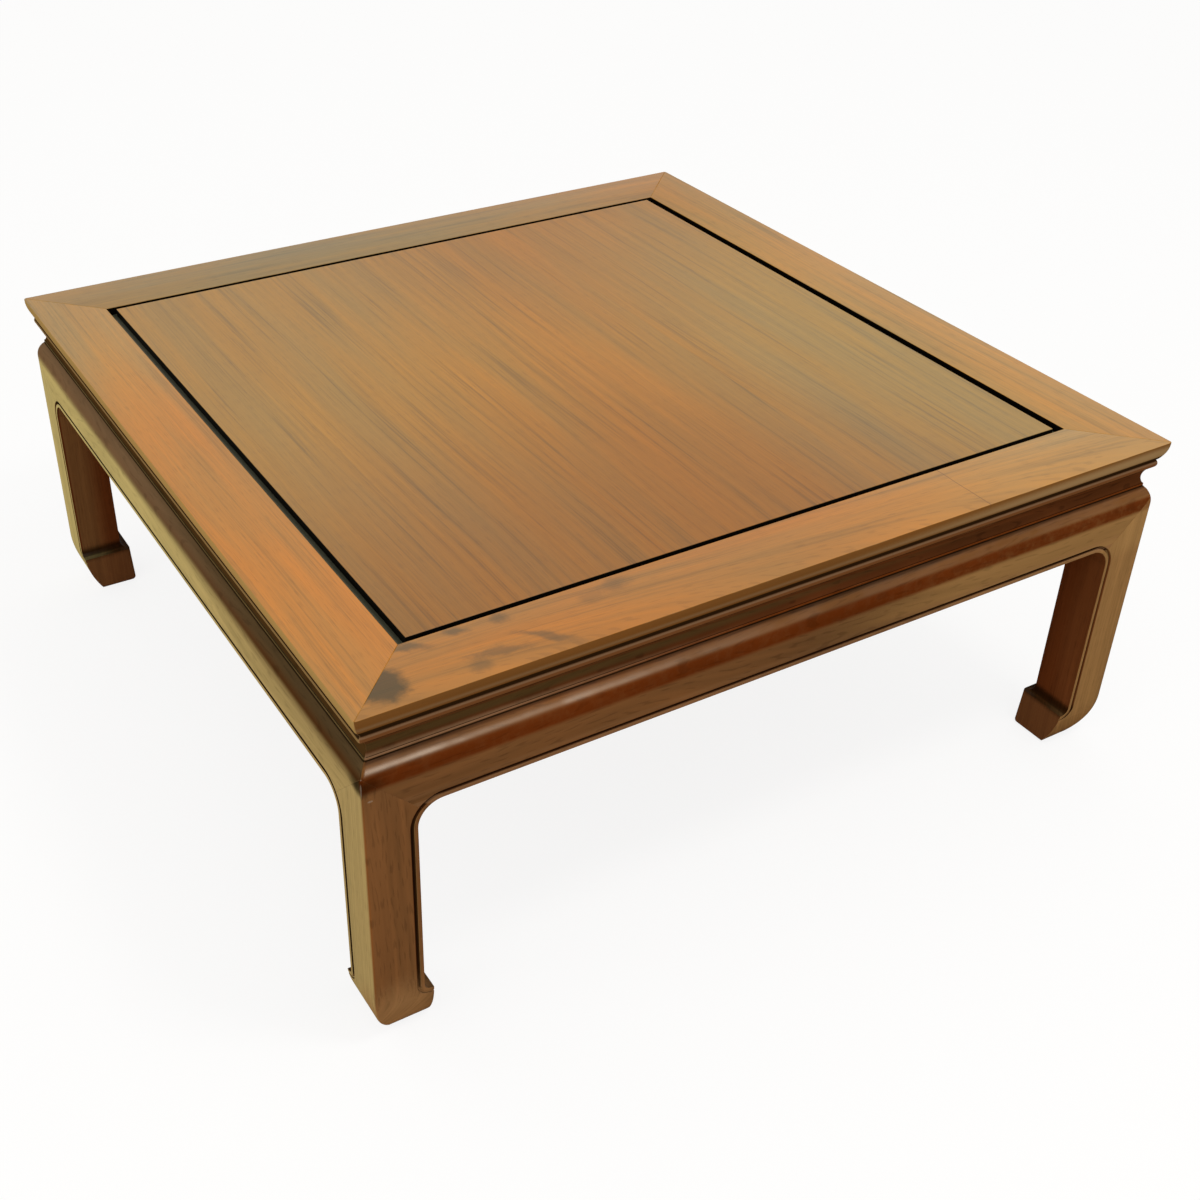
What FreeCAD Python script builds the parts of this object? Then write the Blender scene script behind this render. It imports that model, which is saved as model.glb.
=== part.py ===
"""Low square waisted table with hoof feet, built from jointed pieces.

Millimetres, +Z up. The origin is on the floor under the middle of the top, and the front faces -Y.
"Inset" is the distance in from the outer edge of the top, "along" the distance from a side's left end.
"""
import FreeCAD, Part
import math
import os

Vector = FreeCAD.Vector
UP = Vector(0, 0, 1)

# Overall size
WIDTH = 914.0
DEPTH = 914.0
HEIGHT = 381.0

# Top frame
RAIL_WIDTH = 75.5
RAIL_THICK = 35.0
CORNER_ROUND = 4.0
EDGE_ROUND = 1.6
INNER_EDGE_ROUND = 0.8
FASCIA_HEIGHT = 20.0
FASCIA_LEAN = 6.0
FASCIA_SWELL = 1.5
QUIRK_HEIGHT = 1.6
QUIRK_STEP = 1.4
TORUS_HEIGHT = 9.5
TORUS_PROUD = 1.6
TORUS_LEAN = 4.4

# Joint of the top frame: a blind tenon across each mitre
MITRE_TENON_WIDTH = 30.0
MITRE_TENON_THICK = 12.0
MITRE_TENON_TOP = 11.0
MITRE_TENON_COVER = 7.0
MITRE_TENON_SKIN = 14.0

# Floating panel
BOARD_LEFT_WIDTH = 266.0
BOARD_MIDDLE_WIDTH = 254.0
PANEL_THICK = 18.0
PANEL_GAP_SIDE = 10.0
PANEL_GAP_END = 6.0
PANEL_EDGE_ROUND = 0.8
TONGUE_THICK = 9.0
TONGUE_REACH = 8.0
BOARD_TONGUE_THICK = 6.0
BOARD_TONGUE_REACH = 5.0

# Battens under the panel
BRACE_SPACING = 240.0
BRACE_WIDTH = 42.0
BRACE_DEEP = 16.0
DOVETAIL_NECK = 22.0
DOVETAIL_HEAD = 28.0
DOVETAIL_DEEP = 6.0
BRACE_TENON_WIDTH = 30.0
BRACE_TENON_THICK = 9.0
BRACE_TENON_REACH = 15.0

# Waist
WAIST_HEIGHT = 18.0
WAIST_TOP_INSET = 13.0
WAIST_HOLLOW = 2.2
WAIST_LIP = 2.8
BACK_INSET = 24.0

# Aprons
FACE_INSET = 3.0
APRON_HEIGHT = 58.5
SHOULDER_INSET = 12.0
SHOULDER_DROP = 19.0
ARCH_RADIUS = 24.5

# Raised bead along the aprons and legs, set off by a groove
BEAD_WIDTH = 3.6
GROOVE_WIDTH = 4.0
GROOVE_FLOOR = 1.6
GROOVE_DEEP = 2.0

# Legs
LEG_WIDTH = 50.0
ARRIS_ROUND = 4.0
HOOF_RADIUS = 100.0
HOOF_TUCK = 18.0
TOE_REACH = 11.5
TOE_HEIGHT = 47.0
TOE_LEAN = 2.0
TOE_LIP = 1.5
TOE_ROUND = 4.0
TOE_CORNER_ROUND = 5.0
TOP_TENON_SIDE = 10.0
TOP_TENON_COVER = 2.0
TOP_TENON_NEAR = 2.0

# Hanging dovetail pins between legs and aprons
PIN_ROOT = 10.0
PIN_HEAD = 14.0
PIN_PROUD = 8.0
PIN_TOP_COVER = 8.0

# Pegs that tie frame, waist and apron together
PEGS_PER_SIDE = 3
PEG_SIDE = 5.0
PEG_SPACING = 250.0
PEG_IN_RAIL = 10.0
PEG_IN_APRON = 12.0

# Room left round hidden tenons, tongues and pins
CLEARANCE = 0.2
END_CLEARANCE = 0.6

# How far shapes that cut run past the faces that they cut
OVERCUT = 1.0

# Levels that follow from the sizes above
RAIL_BOTTOM = HEIGHT - RAIL_THICK
APRON_TOP = RAIL_BOTTOM - WAIST_HEIGHT
APRON_BOTTOM = APRON_TOP - APRON_HEIGHT
LEG_INNER = FACE_INSET + LEG_WIDTH
TOE_END = LEG_INNER + TOE_REACH
PANEL_BOTTOM = HEIGHT - PANEL_THICK
TONGUE_LEVEL = PANEL_BOTTOM + TONGUE_THICK
PANEL_GROOVE_END = RAIL_WIDTH - TONGUE_REACH - END_CLEARANCE
MITRE_TENON_INNER = PANEL_GROOVE_END - MITRE_TENON_COVER
MITRE_TENON_OUTER = MITRE_TENON_INNER - MITRE_TENON_WIDTH
TOP_TENON_RISE = RAIL_THICK - MITRE_TENON_TOP - MITRE_TENON_THICK - TOP_TENON_COVER
RAIL_INNER_X = WIDTH / 2 - RAIL_WIDTH
RAIL_INNER_Y = DEPTH / 2 - RAIL_WIDTH
GROOVE_OFFSET = BEAD_WIDTH + GROOVE_WIDTH / 2

# Each side is built as the front one, and each leg as the front left one, then turned by quarter turns
SIDE_RUNS = [("front", WIDTH, DEPTH / 2), ("right", DEPTH, WIDTH / 2),
             ("back", WIDTH, DEPTH / 2), ("left", DEPTH, WIDTH / 2)]
LEG_PLACES = [("front_left", -WIDTH / 2, -DEPTH / 2), ("front_right", WIDTH / 2, -DEPTH / 2),
              ("back_right", WIDTH / 2, DEPTH / 2), ("back_left", -WIDTH / 2, DEPTH / 2)]
SIDES = {side: (length, offset, turns) for turns, (side, length, offset) in enumerate(SIDE_RUNS)}
LEG_CORNERS = {corner: (x, y, turns) for turns, (corner, x, y) in enumerate(LEG_PLACES)}


def line(start, end):
    """Straight edge between two points."""
    return Part.LineSegment(start, end).toShape()


def arc(start, middle, end):
    """Circular edge through three points."""
    return Part.Arc(start, middle, end).toShape()


def bulge(start, end, rise):
    """Point beside the middle of a chord in a plane of constant X, rise to the right of its direction."""
    chord = end - start
    side = Vector(0, chord.z, -chord.y).normalize()
    return (start + end) * 0.5 + side * rise


def prism(edges, direction):
    """Solid swept from a closed outline of edges."""
    return Part.Face(Part.Wire(edges)).extrude(direction)


def polygon_prism(points, direction):
    """Solid swept from a closed polygon."""
    return Part.Face(Part.makePolygon(points + [points[0]])).extrude(direction)


def box(low, high):
    """Box between two opposite corners."""
    return Part.makeBox(high[0] - low[0], high[1] - low[1], high[2] - low[2], Vector(*low))


def turned(shape, turns):
    """Copy of a shape turned about the vertical axis through the origin, by quarter turns."""
    copy = shape.copy()
    copy.rotate(Vector(0, 0, 0), UP, 90 * turns)
    return copy


def at_corner(shape, corner):
    """Copy of a shape built in leg coordinates, turned and set at one corner of the table."""
    x, y, turns = LEG_CORNERS[corner]
    copy = turned(shape, turns)
    copy.translate(Vector(x, y, 0))
    return copy


def fused(first, *others):
    """Union of solids, with merged faces cleaned up."""
    return first.fuse(list(others)).removeSplitter()


def mitre_wedge(length, offset, inset, low, high):
    """Region of one side in plan, between the two diagonal mitre planes."""
    half = length / 2
    front = -offset
    points = [
        Vector(-half, front, low),
        Vector(half, front, low),
        Vector(half - inset, front + inset, low),
        Vector(-half + inset, front + inset, low),
    ]
    return polygon_prism(points, UP * (high - low))


def rounded_plan(low, high):
    """Plan of the whole top with its four corners rounded."""
    plan = box((-WIDTH / 2, -DEPTH / 2, low), (WIDTH / 2, DEPTH / 2, high))
    uprights = [edge for edge in plan.Edges if abs(edge.tangentAt(edge.FirstParameter).z) > 0.5]
    return plan.makeFillet(CORNER_ROUND, uprights)


def run_along_side(edges, length):
    """Moulding swept along a whole side from a section drawn at X = 0."""
    solid = prism(edges, Vector(length, 0, 0))
    solid.translate(Vector(-length / 2, 0, 0))
    return solid


def rail_section(offset):
    """Section of a top rail: leaning fascia, quirk, torus, flat bottom and the groove for the panel."""
    def at(inset, level):
        return Vector(0, -offset + inset, level)

    slope = EDGE_ROUND * (1 - math.sqrt(0.5))
    fascia_foot = HEIGHT - FASCIA_HEIGHT
    quirk_inset = FASCIA_LEAN + QUIRK_STEP
    torus_top = fascia_foot - QUIRK_HEIGHT
    torus_foot = torus_top - TORUS_HEIGHT
    torus_in = quirk_inset + TORUS_LEAN
    groove_top = TONGUE_LEVEL + CLEARANCE
    groove_foot = PANEL_BOTTOM - CLEARANCE
    groove_end = PANEL_GROOVE_END
    inner_slope = INNER_EDGE_ROUND * (1 - math.sqrt(0.5))
    top_front = at(EDGE_ROUND, HEIGHT)
    fascia_top = at(0, HEIGHT - EDGE_ROUND)
    fascia_low = at(FASCIA_LEAN, fascia_foot)
    torus_start = at(quirk_inset, torus_top)
    torus_end = at(torus_in, torus_foot)
    inner_top = at(RAIL_WIDTH - INNER_EDGE_ROUND, HEIGHT)
    inner_start = at(RAIL_WIDTH, HEIGHT - INNER_EDGE_ROUND)
    corners = [
        torus_end,
        at(WAIST_TOP_INSET, RAIL_BOTTOM),
        at(RAIL_WIDTH, RAIL_BOTTOM),
        at(RAIL_WIDTH, groove_foot),
        at(groove_end, groove_foot),
        at(groove_end, groove_top),
        at(RAIL_WIDTH, groove_top),
        inner_start,
    ]
    edges = [
        arc(top_front, at(slope, HEIGHT - slope), fascia_top),
        arc(fascia_top, bulge(fascia_top, fascia_low, FASCIA_SWELL), fascia_low),
        line(fascia_low, at(quirk_inset, fascia_foot)),
        line(at(quirk_inset, fascia_foot), torus_start),
        arc(torus_start, bulge(torus_start, torus_end, TORUS_PROUD + TORUS_LEAN / 2), torus_end),
    ]
    edges += [line(start, end) for start, end in zip(corners, corners[1:])]
    edges.append(arc(inner_start, at(RAIL_WIDTH - inner_slope, HEIGHT - inner_slope), inner_top))
    edges.append(line(inner_top, top_front))
    return edges


def top_tenon_boxes(length, offset, room):
    """Places of the two leg tenons in the underside of one rail, with room round them."""
    near = BACK_INSET + TOP_TENON_NEAR
    far = LEG_INNER - TOP_TENON_NEAR
    boxes = []
    for end in (-1, 1):
        along = sorted(end * (length / 2 - value) for value in (far + room, far - TOP_TENON_SIDE - room))
        boxes.append(box(
            (along[0], -offset + near - room, RAIL_BOTTOM - OVERCUT),
            (along[1], -offset + near + TOP_TENON_SIDE + room, RAIL_BOTTOM + TOP_TENON_RISE + room),
        ))
    return boxes


def mitre_tenons(length, offset, room):
    """Tenons of a side rail, which cross both of its mitres lengthways, with room round them."""
    top = HEIGHT - MITRE_TENON_TOP
    tenons = []
    for end in (-1, 1):
        reach = (MITRE_TENON_SKIN - room, MITRE_TENON_INNER + OVERCUT)
        along = sorted(end * (length / 2 - value) for value in reach)
        tenons.append(box(
            (along[0], -offset + MITRE_TENON_OUTER - room, top - MITRE_TENON_THICK - room),
            (along[1], -offset + MITRE_TENON_INNER + room, top + room),
        ))
    return tenons


def peg_boxes(length, offset, room):
    """Pegs of one side, from inside the rail down through the waist into the apron."""
    middle = -offset + BACK_INSET - (BACK_INSET - WAIST_TOP_INSET - WAIST_HOLLOW) / 2
    half = PEG_SIDE / 2 + room
    pegs = []
    for index in range(PEGS_PER_SIDE):
        along = (index - (PEGS_PER_SIDE - 1) / 2) * PEG_SPACING
        pegs.append(box(
            (along - half, middle - half, APRON_TOP - PEG_IN_APRON - room),
            (along + half, middle + half, RAIL_BOTTOM + PEG_IN_RAIL + room),
        ))
    return pegs


def brace_rows():
    """Distances of the battens from the middle of the panel, front to back."""
    return {"front": -BRACE_SPACING, "middle": 0.0, "back": BRACE_SPACING}


def brace_tenon(end, row, room):
    """Tenon of one batten in the left (-1) or right (1) rail, with room round it."""
    level = PANEL_BOTTOM - (BRACE_DEEP - BRACE_TENON_THICK) / 2
    across = sorted((end * (RAIL_INNER_X - OVERCUT), end * (RAIL_INNER_X + BRACE_TENON_REACH + room)))
    half = BRACE_TENON_WIDTH / 2 + room
    low = level - BRACE_TENON_THICK - room
    return box((across[0], row - half, low), (across[1], row + half, level + room))


def build_rails():
    """Four mitred rails: the side rails carry the tenons, the front and back rails their mortises."""
    low = RAIL_BOTTOM - OVERCUT
    high = HEIGHT + OVERCUT
    plan = rounded_plan(low, high)
    rails = {}
    for side, (length, offset, turns) in SIDES.items():
        rail = run_along_side(rail_section(offset), length)
        rail = rail.common(mitre_wedge(length, offset, RAIL_WIDTH + OVERCUT, low, high))
        rail = turned(rail, turns).common(plan)
        sockets = top_tenon_boxes(length, offset, CLEARANCE) + peg_boxes(length, offset, CLEARANCE)
        rails[side] = rail.cut([turned(socket, turns) for socket in sockets])
    for side in ("left", "right"):
        length, offset, turns = SIDES[side]
        tenons = [turned(tenon, turns) for tenon in mitre_tenons(length, offset, 0)]
        mortises = [turned(tenon, turns) for tenon in mitre_tenons(length, offset, CLEARANCE)]
        end = -1 if side == "left" else 1
        brace_mortises = [brace_tenon(end, row, CLEARANCE) for row in brace_rows().values()]
        rails[side] = fused(rails[side], *tenons).cut(brace_mortises)
        for cross in ("front", "back"):
            rails[cross] = rails[cross].cut(mortises)
    return {"top_rail_" + side: rail for side, rail in rails.items()}


def panel_blank():
    """Whole panel: a flush field with a tongue on all four sides."""
    half_x = RAIL_INNER_X - PANEL_GAP_SIDE
    half_y = RAIL_INNER_Y - PANEL_GAP_END
    field = box((-half_x, -half_y, PANEL_BOTTOM), (half_x, half_y, HEIGHT))
    rim = [edge for edge in field.Edges if edge.BoundBox.ZMin > HEIGHT - 0.001]
    field = field.makeFillet(PANEL_EDGE_ROUND, rim)
    reach_x = RAIL_INNER_X + TONGUE_REACH
    reach_y = RAIL_INNER_Y + TONGUE_REACH
    tongue = box((-reach_x, -reach_y, PANEL_BOTTOM), (reach_x, reach_y, TONGUE_LEVEL))
    return fused(field, tongue)


def brace_dovetail(row, half_x, room):
    """Long dovetail on top of a batten, reaching half_x to both sides, with room round it."""
    low = PANEL_BOTTOM
    high = PANEL_BOTTOM + DOVETAIL_DEEP + room
    neck = DOVETAIL_NECK / 2 + room
    head = DOVETAIL_HEAD / 2 + room
    points = [
        Vector(-half_x, row - neck, low),
        Vector(-half_x, row + neck, low),
        Vector(-half_x, row + head, high),
        Vector(-half_x, row - head, high),
    ]
    return polygon_prism(points, Vector(2 * half_x, 0, 0))


def build_panel():
    """Boards of the panel, tongued together edge to edge and slotted for the battens."""
    blank = panel_blank()
    reach_x = RAIL_INNER_X + TONGUE_REACH + OVERCUT
    reach_y = RAIL_INNER_Y + TONGUE_REACH + OVERCUT
    blank = blank.cut([brace_dovetail(row, reach_x, CLEARANCE) for row in brace_rows().values()])
    first_seam = -RAIL_INNER_X + PANEL_GAP_SIDE + BOARD_LEFT_WIDTH
    second_seam = first_seam + BOARD_MIDDLE_WIDTH
    limits = {
        "left": (-reach_x, first_seam),
        "middle": (first_seam, second_seam),
        "right": (second_seam, reach_x),
    }
    level = PANEL_BOTTOM + (TONGUE_THICK - BOARD_TONGUE_THICK) / 2
    tongues = {}
    for name, seam in (("left", first_seam), ("middle", second_seam)):
        tongues[name] = box((seam - OVERCUT, -reach_y, level),
                            (seam + BOARD_TONGUE_REACH, reach_y, level + BOARD_TONGUE_THICK))
    regions = {}
    for name, (start, end) in limits.items():
        regions[name] = box((start, -reach_y, 0), (end, reach_y, HEIGHT + OVERCUT))
    regions["right"] = regions["right"].cut(tongues["middle"])
    regions["middle"] = regions["middle"].fuse(tongues["middle"]).cut(tongues["left"])
    regions["left"] = regions["left"].fuse(tongues["left"])
    return {"panel_board_" + name: blank.common(region).removeSplitter() for name, region in regions.items()}


def build_braces():
    """Battens that keep the panel flat, dovetailed into it and tenoned into the side rails."""
    braces = {}
    for name, row in brace_rows().items():
        half = BRACE_WIDTH / 2
        low = PANEL_BOTTOM - BRACE_DEEP
        body = box((-RAIL_INNER_X, row - half, low), (RAIL_INNER_X, row + half, PANEL_BOTTOM))
        dovetail = brace_dovetail(row, RAIL_INNER_X - PANEL_GAP_SIDE, 0)
        tenons = [brace_tenon(end, row, 0) for end in (-1, 1)]
        braces["panel_brace_" + name] = fused(body, dovetail, *tenons)
    return braces


def waist_section(offset):
    """Section of a waist strip: hollow face with a small square lip at its foot."""
    def at(inset, level):
        return Vector(0, -offset + inset, level)

    lip_top = APRON_TOP + WAIST_LIP
    top = at(WAIST_TOP_INSET, RAIL_BOTTOM)
    foot = at(SHOULDER_INSET + QUIRK_STEP / 2, lip_top)
    corners = [foot, at(SHOULDER_INSET, lip_top), at(SHOULDER_INSET, APRON_TOP), at(BACK_INSET, APRON_TOP),
               at(BACK_INSET, RAIL_BOTTOM), top]
    edges = [arc(top, bulge(top, foot, -WAIST_HOLLOW), foot)]
    edges += [line(start, end) for start, end in zip(corners, corners[1:])]
    return edges


def build_waists():
    """Waist strips, mitred at the corners in front of the leg posts."""
    waists = {}
    for side, (length, offset, turns) in SIDES.items():
        strip = run_along_side(waist_section(offset), length)
        strip = strip.common(mitre_wedge(length, offset, BACK_INSET, APRON_TOP, RAIL_BOTTOM))
        strip = strip.cut(peg_boxes(length, offset, CLEARANCE))
        waists["waist_" + side] = turned(strip, turns)
    return waists


def shoulder_arc(top, foot):
    """Swelling shoulder that leaves the face upright at its foot, drawn from top to foot."""
    drop = top.z - foot.z
    step = (top - foot).dot(Vector(1, 1, 0))
    radius = (drop * drop + step * step) / (2 * step)
    inward = Vector(top.x - foot.x, top.y - foot.y, 0).normalize()
    half_angle = math.atan2(drop, radius - step) / 2
    middle = foot + inward * (radius * (1 - math.cos(half_angle))) + UP * (radius * math.sin(half_angle))
    return arc(top, middle, foot)


def apron_section(offset, low):
    """Section of an apron: swelling shoulder, upright face, flat back."""
    def at(inset, level):
        return Vector(0, -offset + inset, level)

    top = at(SHOULDER_INSET, APRON_TOP)
    foot = at(FACE_INSET, APRON_TOP - SHOULDER_DROP)
    corners = [foot, at(FACE_INSET, low), at(BACK_INSET, low), at(BACK_INSET, APRON_TOP), top]
    edges = [shoulder_arc(top, foot)]
    edges += [line(start, end) for start, end in zip(corners, corners[1:])]
    return edges


def arch_point(angle):
    """Point on the left arch corner (along, level), at an angle up from the leg's inner edge."""
    along = LEG_INNER + ARCH_RADIUS * (1 - math.cos(angle))
    level = APRON_BOTTOM - ARCH_RADIUS * (1 - math.sin(angle))
    return along, level


def apron_outline(length, offset):
    """Front view of an apron, between the two mitres that run from its top corners to the arch corners."""
    def at(along, level):
        return Vector(along - length / 2, -offset - OVERCUT, level)

    def mirrored(point):
        return Vector(-point.x, point.y, point.z)

    joint = at(*arch_point(math.pi / 4))
    turn = at(*arch_point(3 * math.pi / 8))
    end = at(*arch_point(math.pi / 2))
    rise = APRON_TOP + OVERCUT
    tip = at(LEG_INNER + APRON_BOTTOM - rise, rise)
    edges = [line(tip, joint), arc(joint, turn, end), line(end, mirrored(end))]
    edges += [arc(mirrored(end), mirrored(turn), mirrored(joint)), line(mirrored(joint), mirrored(tip))]
    edges.append(line(mirrored(tip), tip))
    return prism(edges, Vector(0, BACK_INSET + 2 * OVERCUT, 0))


def groove_path(length, offset):
    """Line of the groove beside the bead: up one leg, round both arches and down the other leg."""
    def at(along, level):
        return Vector(along - length / 2, -offset + FACE_INSET, level)

    def mirrored(point):
        return Vector(-point.x, point.y, point.z)

    lane = LEG_INNER - GROOVE_OFFSET
    cove = toe_cove_radius() + GROOVE_OFFSET
    cove_along = lane + cove
    cove_level = TOE_HEIGHT + toe_cove_radius()
    diagonal = math.sqrt(0.5)
    arch_level = APRON_BOTTOM - ARCH_RADIUS
    arch_along = LEG_INNER + ARCH_RADIUS
    sweep = ARCH_RADIUS + GROOVE_OFFSET
    toe = at(TOE_END + OVERCUT, cove_level - cove)
    cove_foot = at(cove_along, cove_level - cove)
    cove_turn = at(cove_along - cove * diagonal, cove_level - cove * diagonal)
    cove_top = at(lane, cove_level)
    arch_foot = at(lane, arch_level)
    arch_turn = at(arch_along - sweep * diagonal, arch_level + sweep * diagonal)
    arch_top = at(arch_along, arch_level + sweep)
    return Part.Wire([
        line(toe, cove_foot),
        arc(cove_foot, cove_turn, cove_top),
        line(cove_top, arch_foot),
        arc(arch_foot, arch_turn, arch_top),
        line(arch_top, mirrored(arch_top)),
        arc(mirrored(arch_top), mirrored(arch_turn), mirrored(arch_foot)),
        line(mirrored(arch_foot), mirrored(cove_top)),
        arc(mirrored(cove_top), mirrored(cove_turn), mirrored(cove_foot)),
        line(mirrored(cove_foot), mirrored(toe)),
    ])


def groove_cutter(side):
    """Bar with sloping flanks that cuts the groove of one side."""
    length, offset, turns = SIDES[side]
    path = groove_path(length, offset)
    start = path.OrderedVertexes[0].Point
    half_section = [(-OVERCUT, GROOVE_WIDTH / 2), (0, GROOVE_WIDTH / 2), (GROOVE_DEEP, GROOVE_FLOOR / 2)]
    points = [start + Vector(0, deep, across) for deep, across in half_section]
    points += [start + Vector(0, deep, -across) for deep, across in reversed(half_section)]
    section = Part.makePolygon(points + [points[0]])
    return turned(path.makePipeShell([section], True, True), turns)


def hanging_pin(room):
    """Dovetail pin on the front of a leg post, in leg coordinates, with room round it."""
    centre = (BACK_INSET + LEG_INNER) / 2
    root = PIN_ROOT / 2 + room
    head = PIN_HEAD / 2 + room
    outer = BACK_INSET - PIN_PROUD - room
    low = APRON_BOTTOM - ARCH_RADIUS
    high = APRON_TOP - PIN_TOP_COVER + room
    points = [
        Vector(centre - root, BACK_INSET, low),
        Vector(centre + root, BACK_INSET, low),
        Vector(centre + head, outer, low),
        Vector(centre - head, outer, low),
    ]
    return polygon_prism(points, UP * (high - low))


def mirrored_on_diagonal(shape):
    """Copy of a shape in leg coordinates with its two faces swapped."""
    return shape.mirror(Vector(0, 0, 0), Vector(1, -1, 0))


def build_aprons(cutters, arris_waste):
    """Aprons, mitred to the legs in front view and to each other in plan."""
    aprons = {}
    low = arch_point(math.pi / 4)[1] - OVERCUT
    for side, (length, offset, turns) in SIDES.items():
        apron = run_along_side(apron_section(offset, low), length)
        apron = apron.common(apron_outline(length, offset))
        wedge = mitre_wedge(length, offset, BACK_INSET, low - OVERCUT, APRON_TOP + OVERCUT)
        apron = apron.common(wedge)
        slot = hanging_pin(CLEARANCE)
        slot.translate(Vector(-length / 2, -offset, 0))
        other = slot.mirror(Vector(0, 0, 0), Vector(1, 0, 0))
        apron = apron.cut([slot, other] + peg_boxes(length, offset, CLEARANCE))
        corners = [at_corner(arris_waste, corner) for corner in LEG_CORNERS if side in corner]
        aprons["apron_" + side] = turned(apron, turns).cut([cutters[side]] + corners)
    return aprons


def toe_cove_radius():
    """Radius of the hollow between the leg's inner face and the top of the toe."""
    return TOE_REACH - TOE_LEAN - TOE_LIP


def leg_outline():
    """Side view of a leg from shoulder to hoof, in leg coordinates."""
    def at(inset, level):
        return Vector(inset, 0, level)

    hoof_rise = math.sqrt(2 * HOOF_RADIUS * HOOF_TUCK - HOOF_TUCK ** 2)
    half_turn = math.asin(hoof_rise / HOOF_RADIUS) / 2
    cove = toe_cove_radius()
    diagonal = math.sqrt(0.5)
    shoulder_top = at(SHOULDER_INSET, APRON_TOP)
    shoulder_foot = at(FACE_INSET, APRON_TOP - SHOULDER_DROP)
    hoof_top = at(FACE_INSET, hoof_rise)
    hoof_in = HOOF_RADIUS * (1 - math.cos(half_turn))
    hoof_turn = at(FACE_INSET + hoof_in, hoof_rise - HOOF_RADIUS * math.sin(half_turn))
    heel = at(FACE_INSET + HOOF_TUCK, 0)
    sole_end = at(TOE_END, 0)
    toe_top = at(TOE_END - TOE_LEAN, TOE_HEIGHT)
    cove_foot = at(LEG_INNER + cove, TOE_HEIGHT)
    cove_turn = at(LEG_INNER + cove * (1 - diagonal), TOE_HEIGHT + cove * (1 - diagonal))
    cove_top = at(LEG_INNER, TOE_HEIGHT + cove)
    inner_top = at(LEG_INNER, APRON_TOP)
    return [
        shoulder_arc(shoulder_top, shoulder_foot),
        line(shoulder_foot, hoof_top),
        arc(hoof_top, hoof_turn, heel),
        line(heel, sole_end),
        line(sole_end, toe_top),
        line(toe_top, cove_foot),
        arc(cove_foot, cove_turn, cove_top),
        line(cove_top, inner_top),
        line(inner_top, shoulder_top),
    ]


def leg_blank():
    """Leg with its hoof before easing: one outline carved through from both outer faces."""
    carved = prism(leg_outline(), Vector(0, TOE_END + OVERCUT, 0))
    return carved.common(mirrored_on_diagonal(carved))


def arris_eased(blank):
    """Leg blank with its outer arris rounded from the shoulder down to the heel."""
    arris = []
    for edge in blank.Edges:
        points = [vertex.Point for vertex in edge.Vertexes]
        on_diagonal = all(abs(point.x - point.y) < 0.001 for point in points)
        if on_diagonal and all(point.x < LEG_INNER / 2 for point in points):
            arris.append(edge)
    return blank.makeFillet(ARRIS_ROUND, arris)


def toe_eased(column):
    """Leg with its toe rounded, first on the upright inner corner and then along the edge of the sole."""
    corner = []
    for edge in column.Edges:
        points = [vertex.Point for vertex in edge.Vertexes]
        on_diagonal = all(abs(point.x - point.y) < 0.001 for point in points)
        if on_diagonal and all(LEG_INNER < point.x and point.z < TOE_HEIGHT + OVERCUT for point in points):
            corner.append(edge)
    rounded = column.makeFillet(TOE_CORNER_ROUND, corner)
    sole = []
    for edge in rounded.Edges:
        middle = edge.valueAt((edge.FirstParameter + edge.LastParameter) / 2)
        if abs(middle.z) < 0.001 and max(middle.x, middle.y) > TOE_END - TOE_CORNER_ROUND / 2:
            sole.append(edge)
    return rounded.makeFillet(TOE_ROUND, sole)


def below_mitre():
    """Space under the 45 degree mitre of the face that looks to -Y, in leg coordinates."""
    far = TOE_END + OVERCUT
    corner_level = APRON_BOTTOM + LEG_INNER
    points = [
        Vector(0, 0, corner_level),
        Vector(far, 0, corner_level - far),
        Vector(far, 0, -OVERCUT),
        Vector(0, 0, -OVERCUT),
    ]
    return polygon_prism(points, Vector(0, far, 0))


def leg_ear():
    """Part of the leg that reaches out to the mitre along the arch corner, on the face that looks to -Y."""
    def at(along, level):
        return Vector(along, FACE_INSET, level)

    foot = at(LEG_INNER, APRON_BOTTOM - ARCH_RADIUS)
    turn = at(*arch_point(math.pi / 8))
    joint = at(*arch_point(math.pi / 4))
    corner = at(LEG_INNER, APRON_BOTTOM)
    edges = [arc(foot, turn, joint), line(joint, corner), line(corner, foot)]
    return prism(edges, Vector(0, BACK_INSET - FACE_INSET, 0))


def top_tenon():
    """Tenon on the leg post that rises into the rail over the face that looks to -Y."""
    far = LEG_INNER - TOP_TENON_NEAR
    near = BACK_INSET + TOP_TENON_NEAR
    low = RAIL_BOTTOM - OVERCUT
    high = RAIL_BOTTOM + TOP_TENON_RISE
    return box((far - TOP_TENON_SIDE, near, low), (far, near + TOP_TENON_SIDE, high))


def build_legs(cutters, column):
    """Four like legs: hoof and column, post behind the waist, hanging pins and top tenons."""
    mitre = below_mitre()
    column = column.common(mitre).common(mirrored_on_diagonal(mitre))
    post = box((BACK_INSET, BACK_INSET, APRON_BOTTOM - ARCH_RADIUS), (LEG_INNER, LEG_INNER, RAIL_BOTTOM))
    halves = [leg_ear(), hanging_pin(0), top_tenon()]
    leg = fused(column, post, *halves, *[mirrored_on_diagonal(half) for half in halves])
    legs = {}
    for corner in LEG_CORNERS:
        placed = at_corner(leg, corner)
        beside = [side for side in SIDES if side in corner]
        legs["leg_" + corner] = placed.cut([cutters[side] for side in beside])
    return legs


def build_pegs():
    """All pegs of the four sides, as one group of like pieces."""
    pegs = []
    for length, offset, turns in SIDES.values():
        pegs += [turned(peg, turns) for peg in peg_boxes(length, offset, 0)]
    return {"waist_pegs": Part.makeCompound(pegs)}


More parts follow.
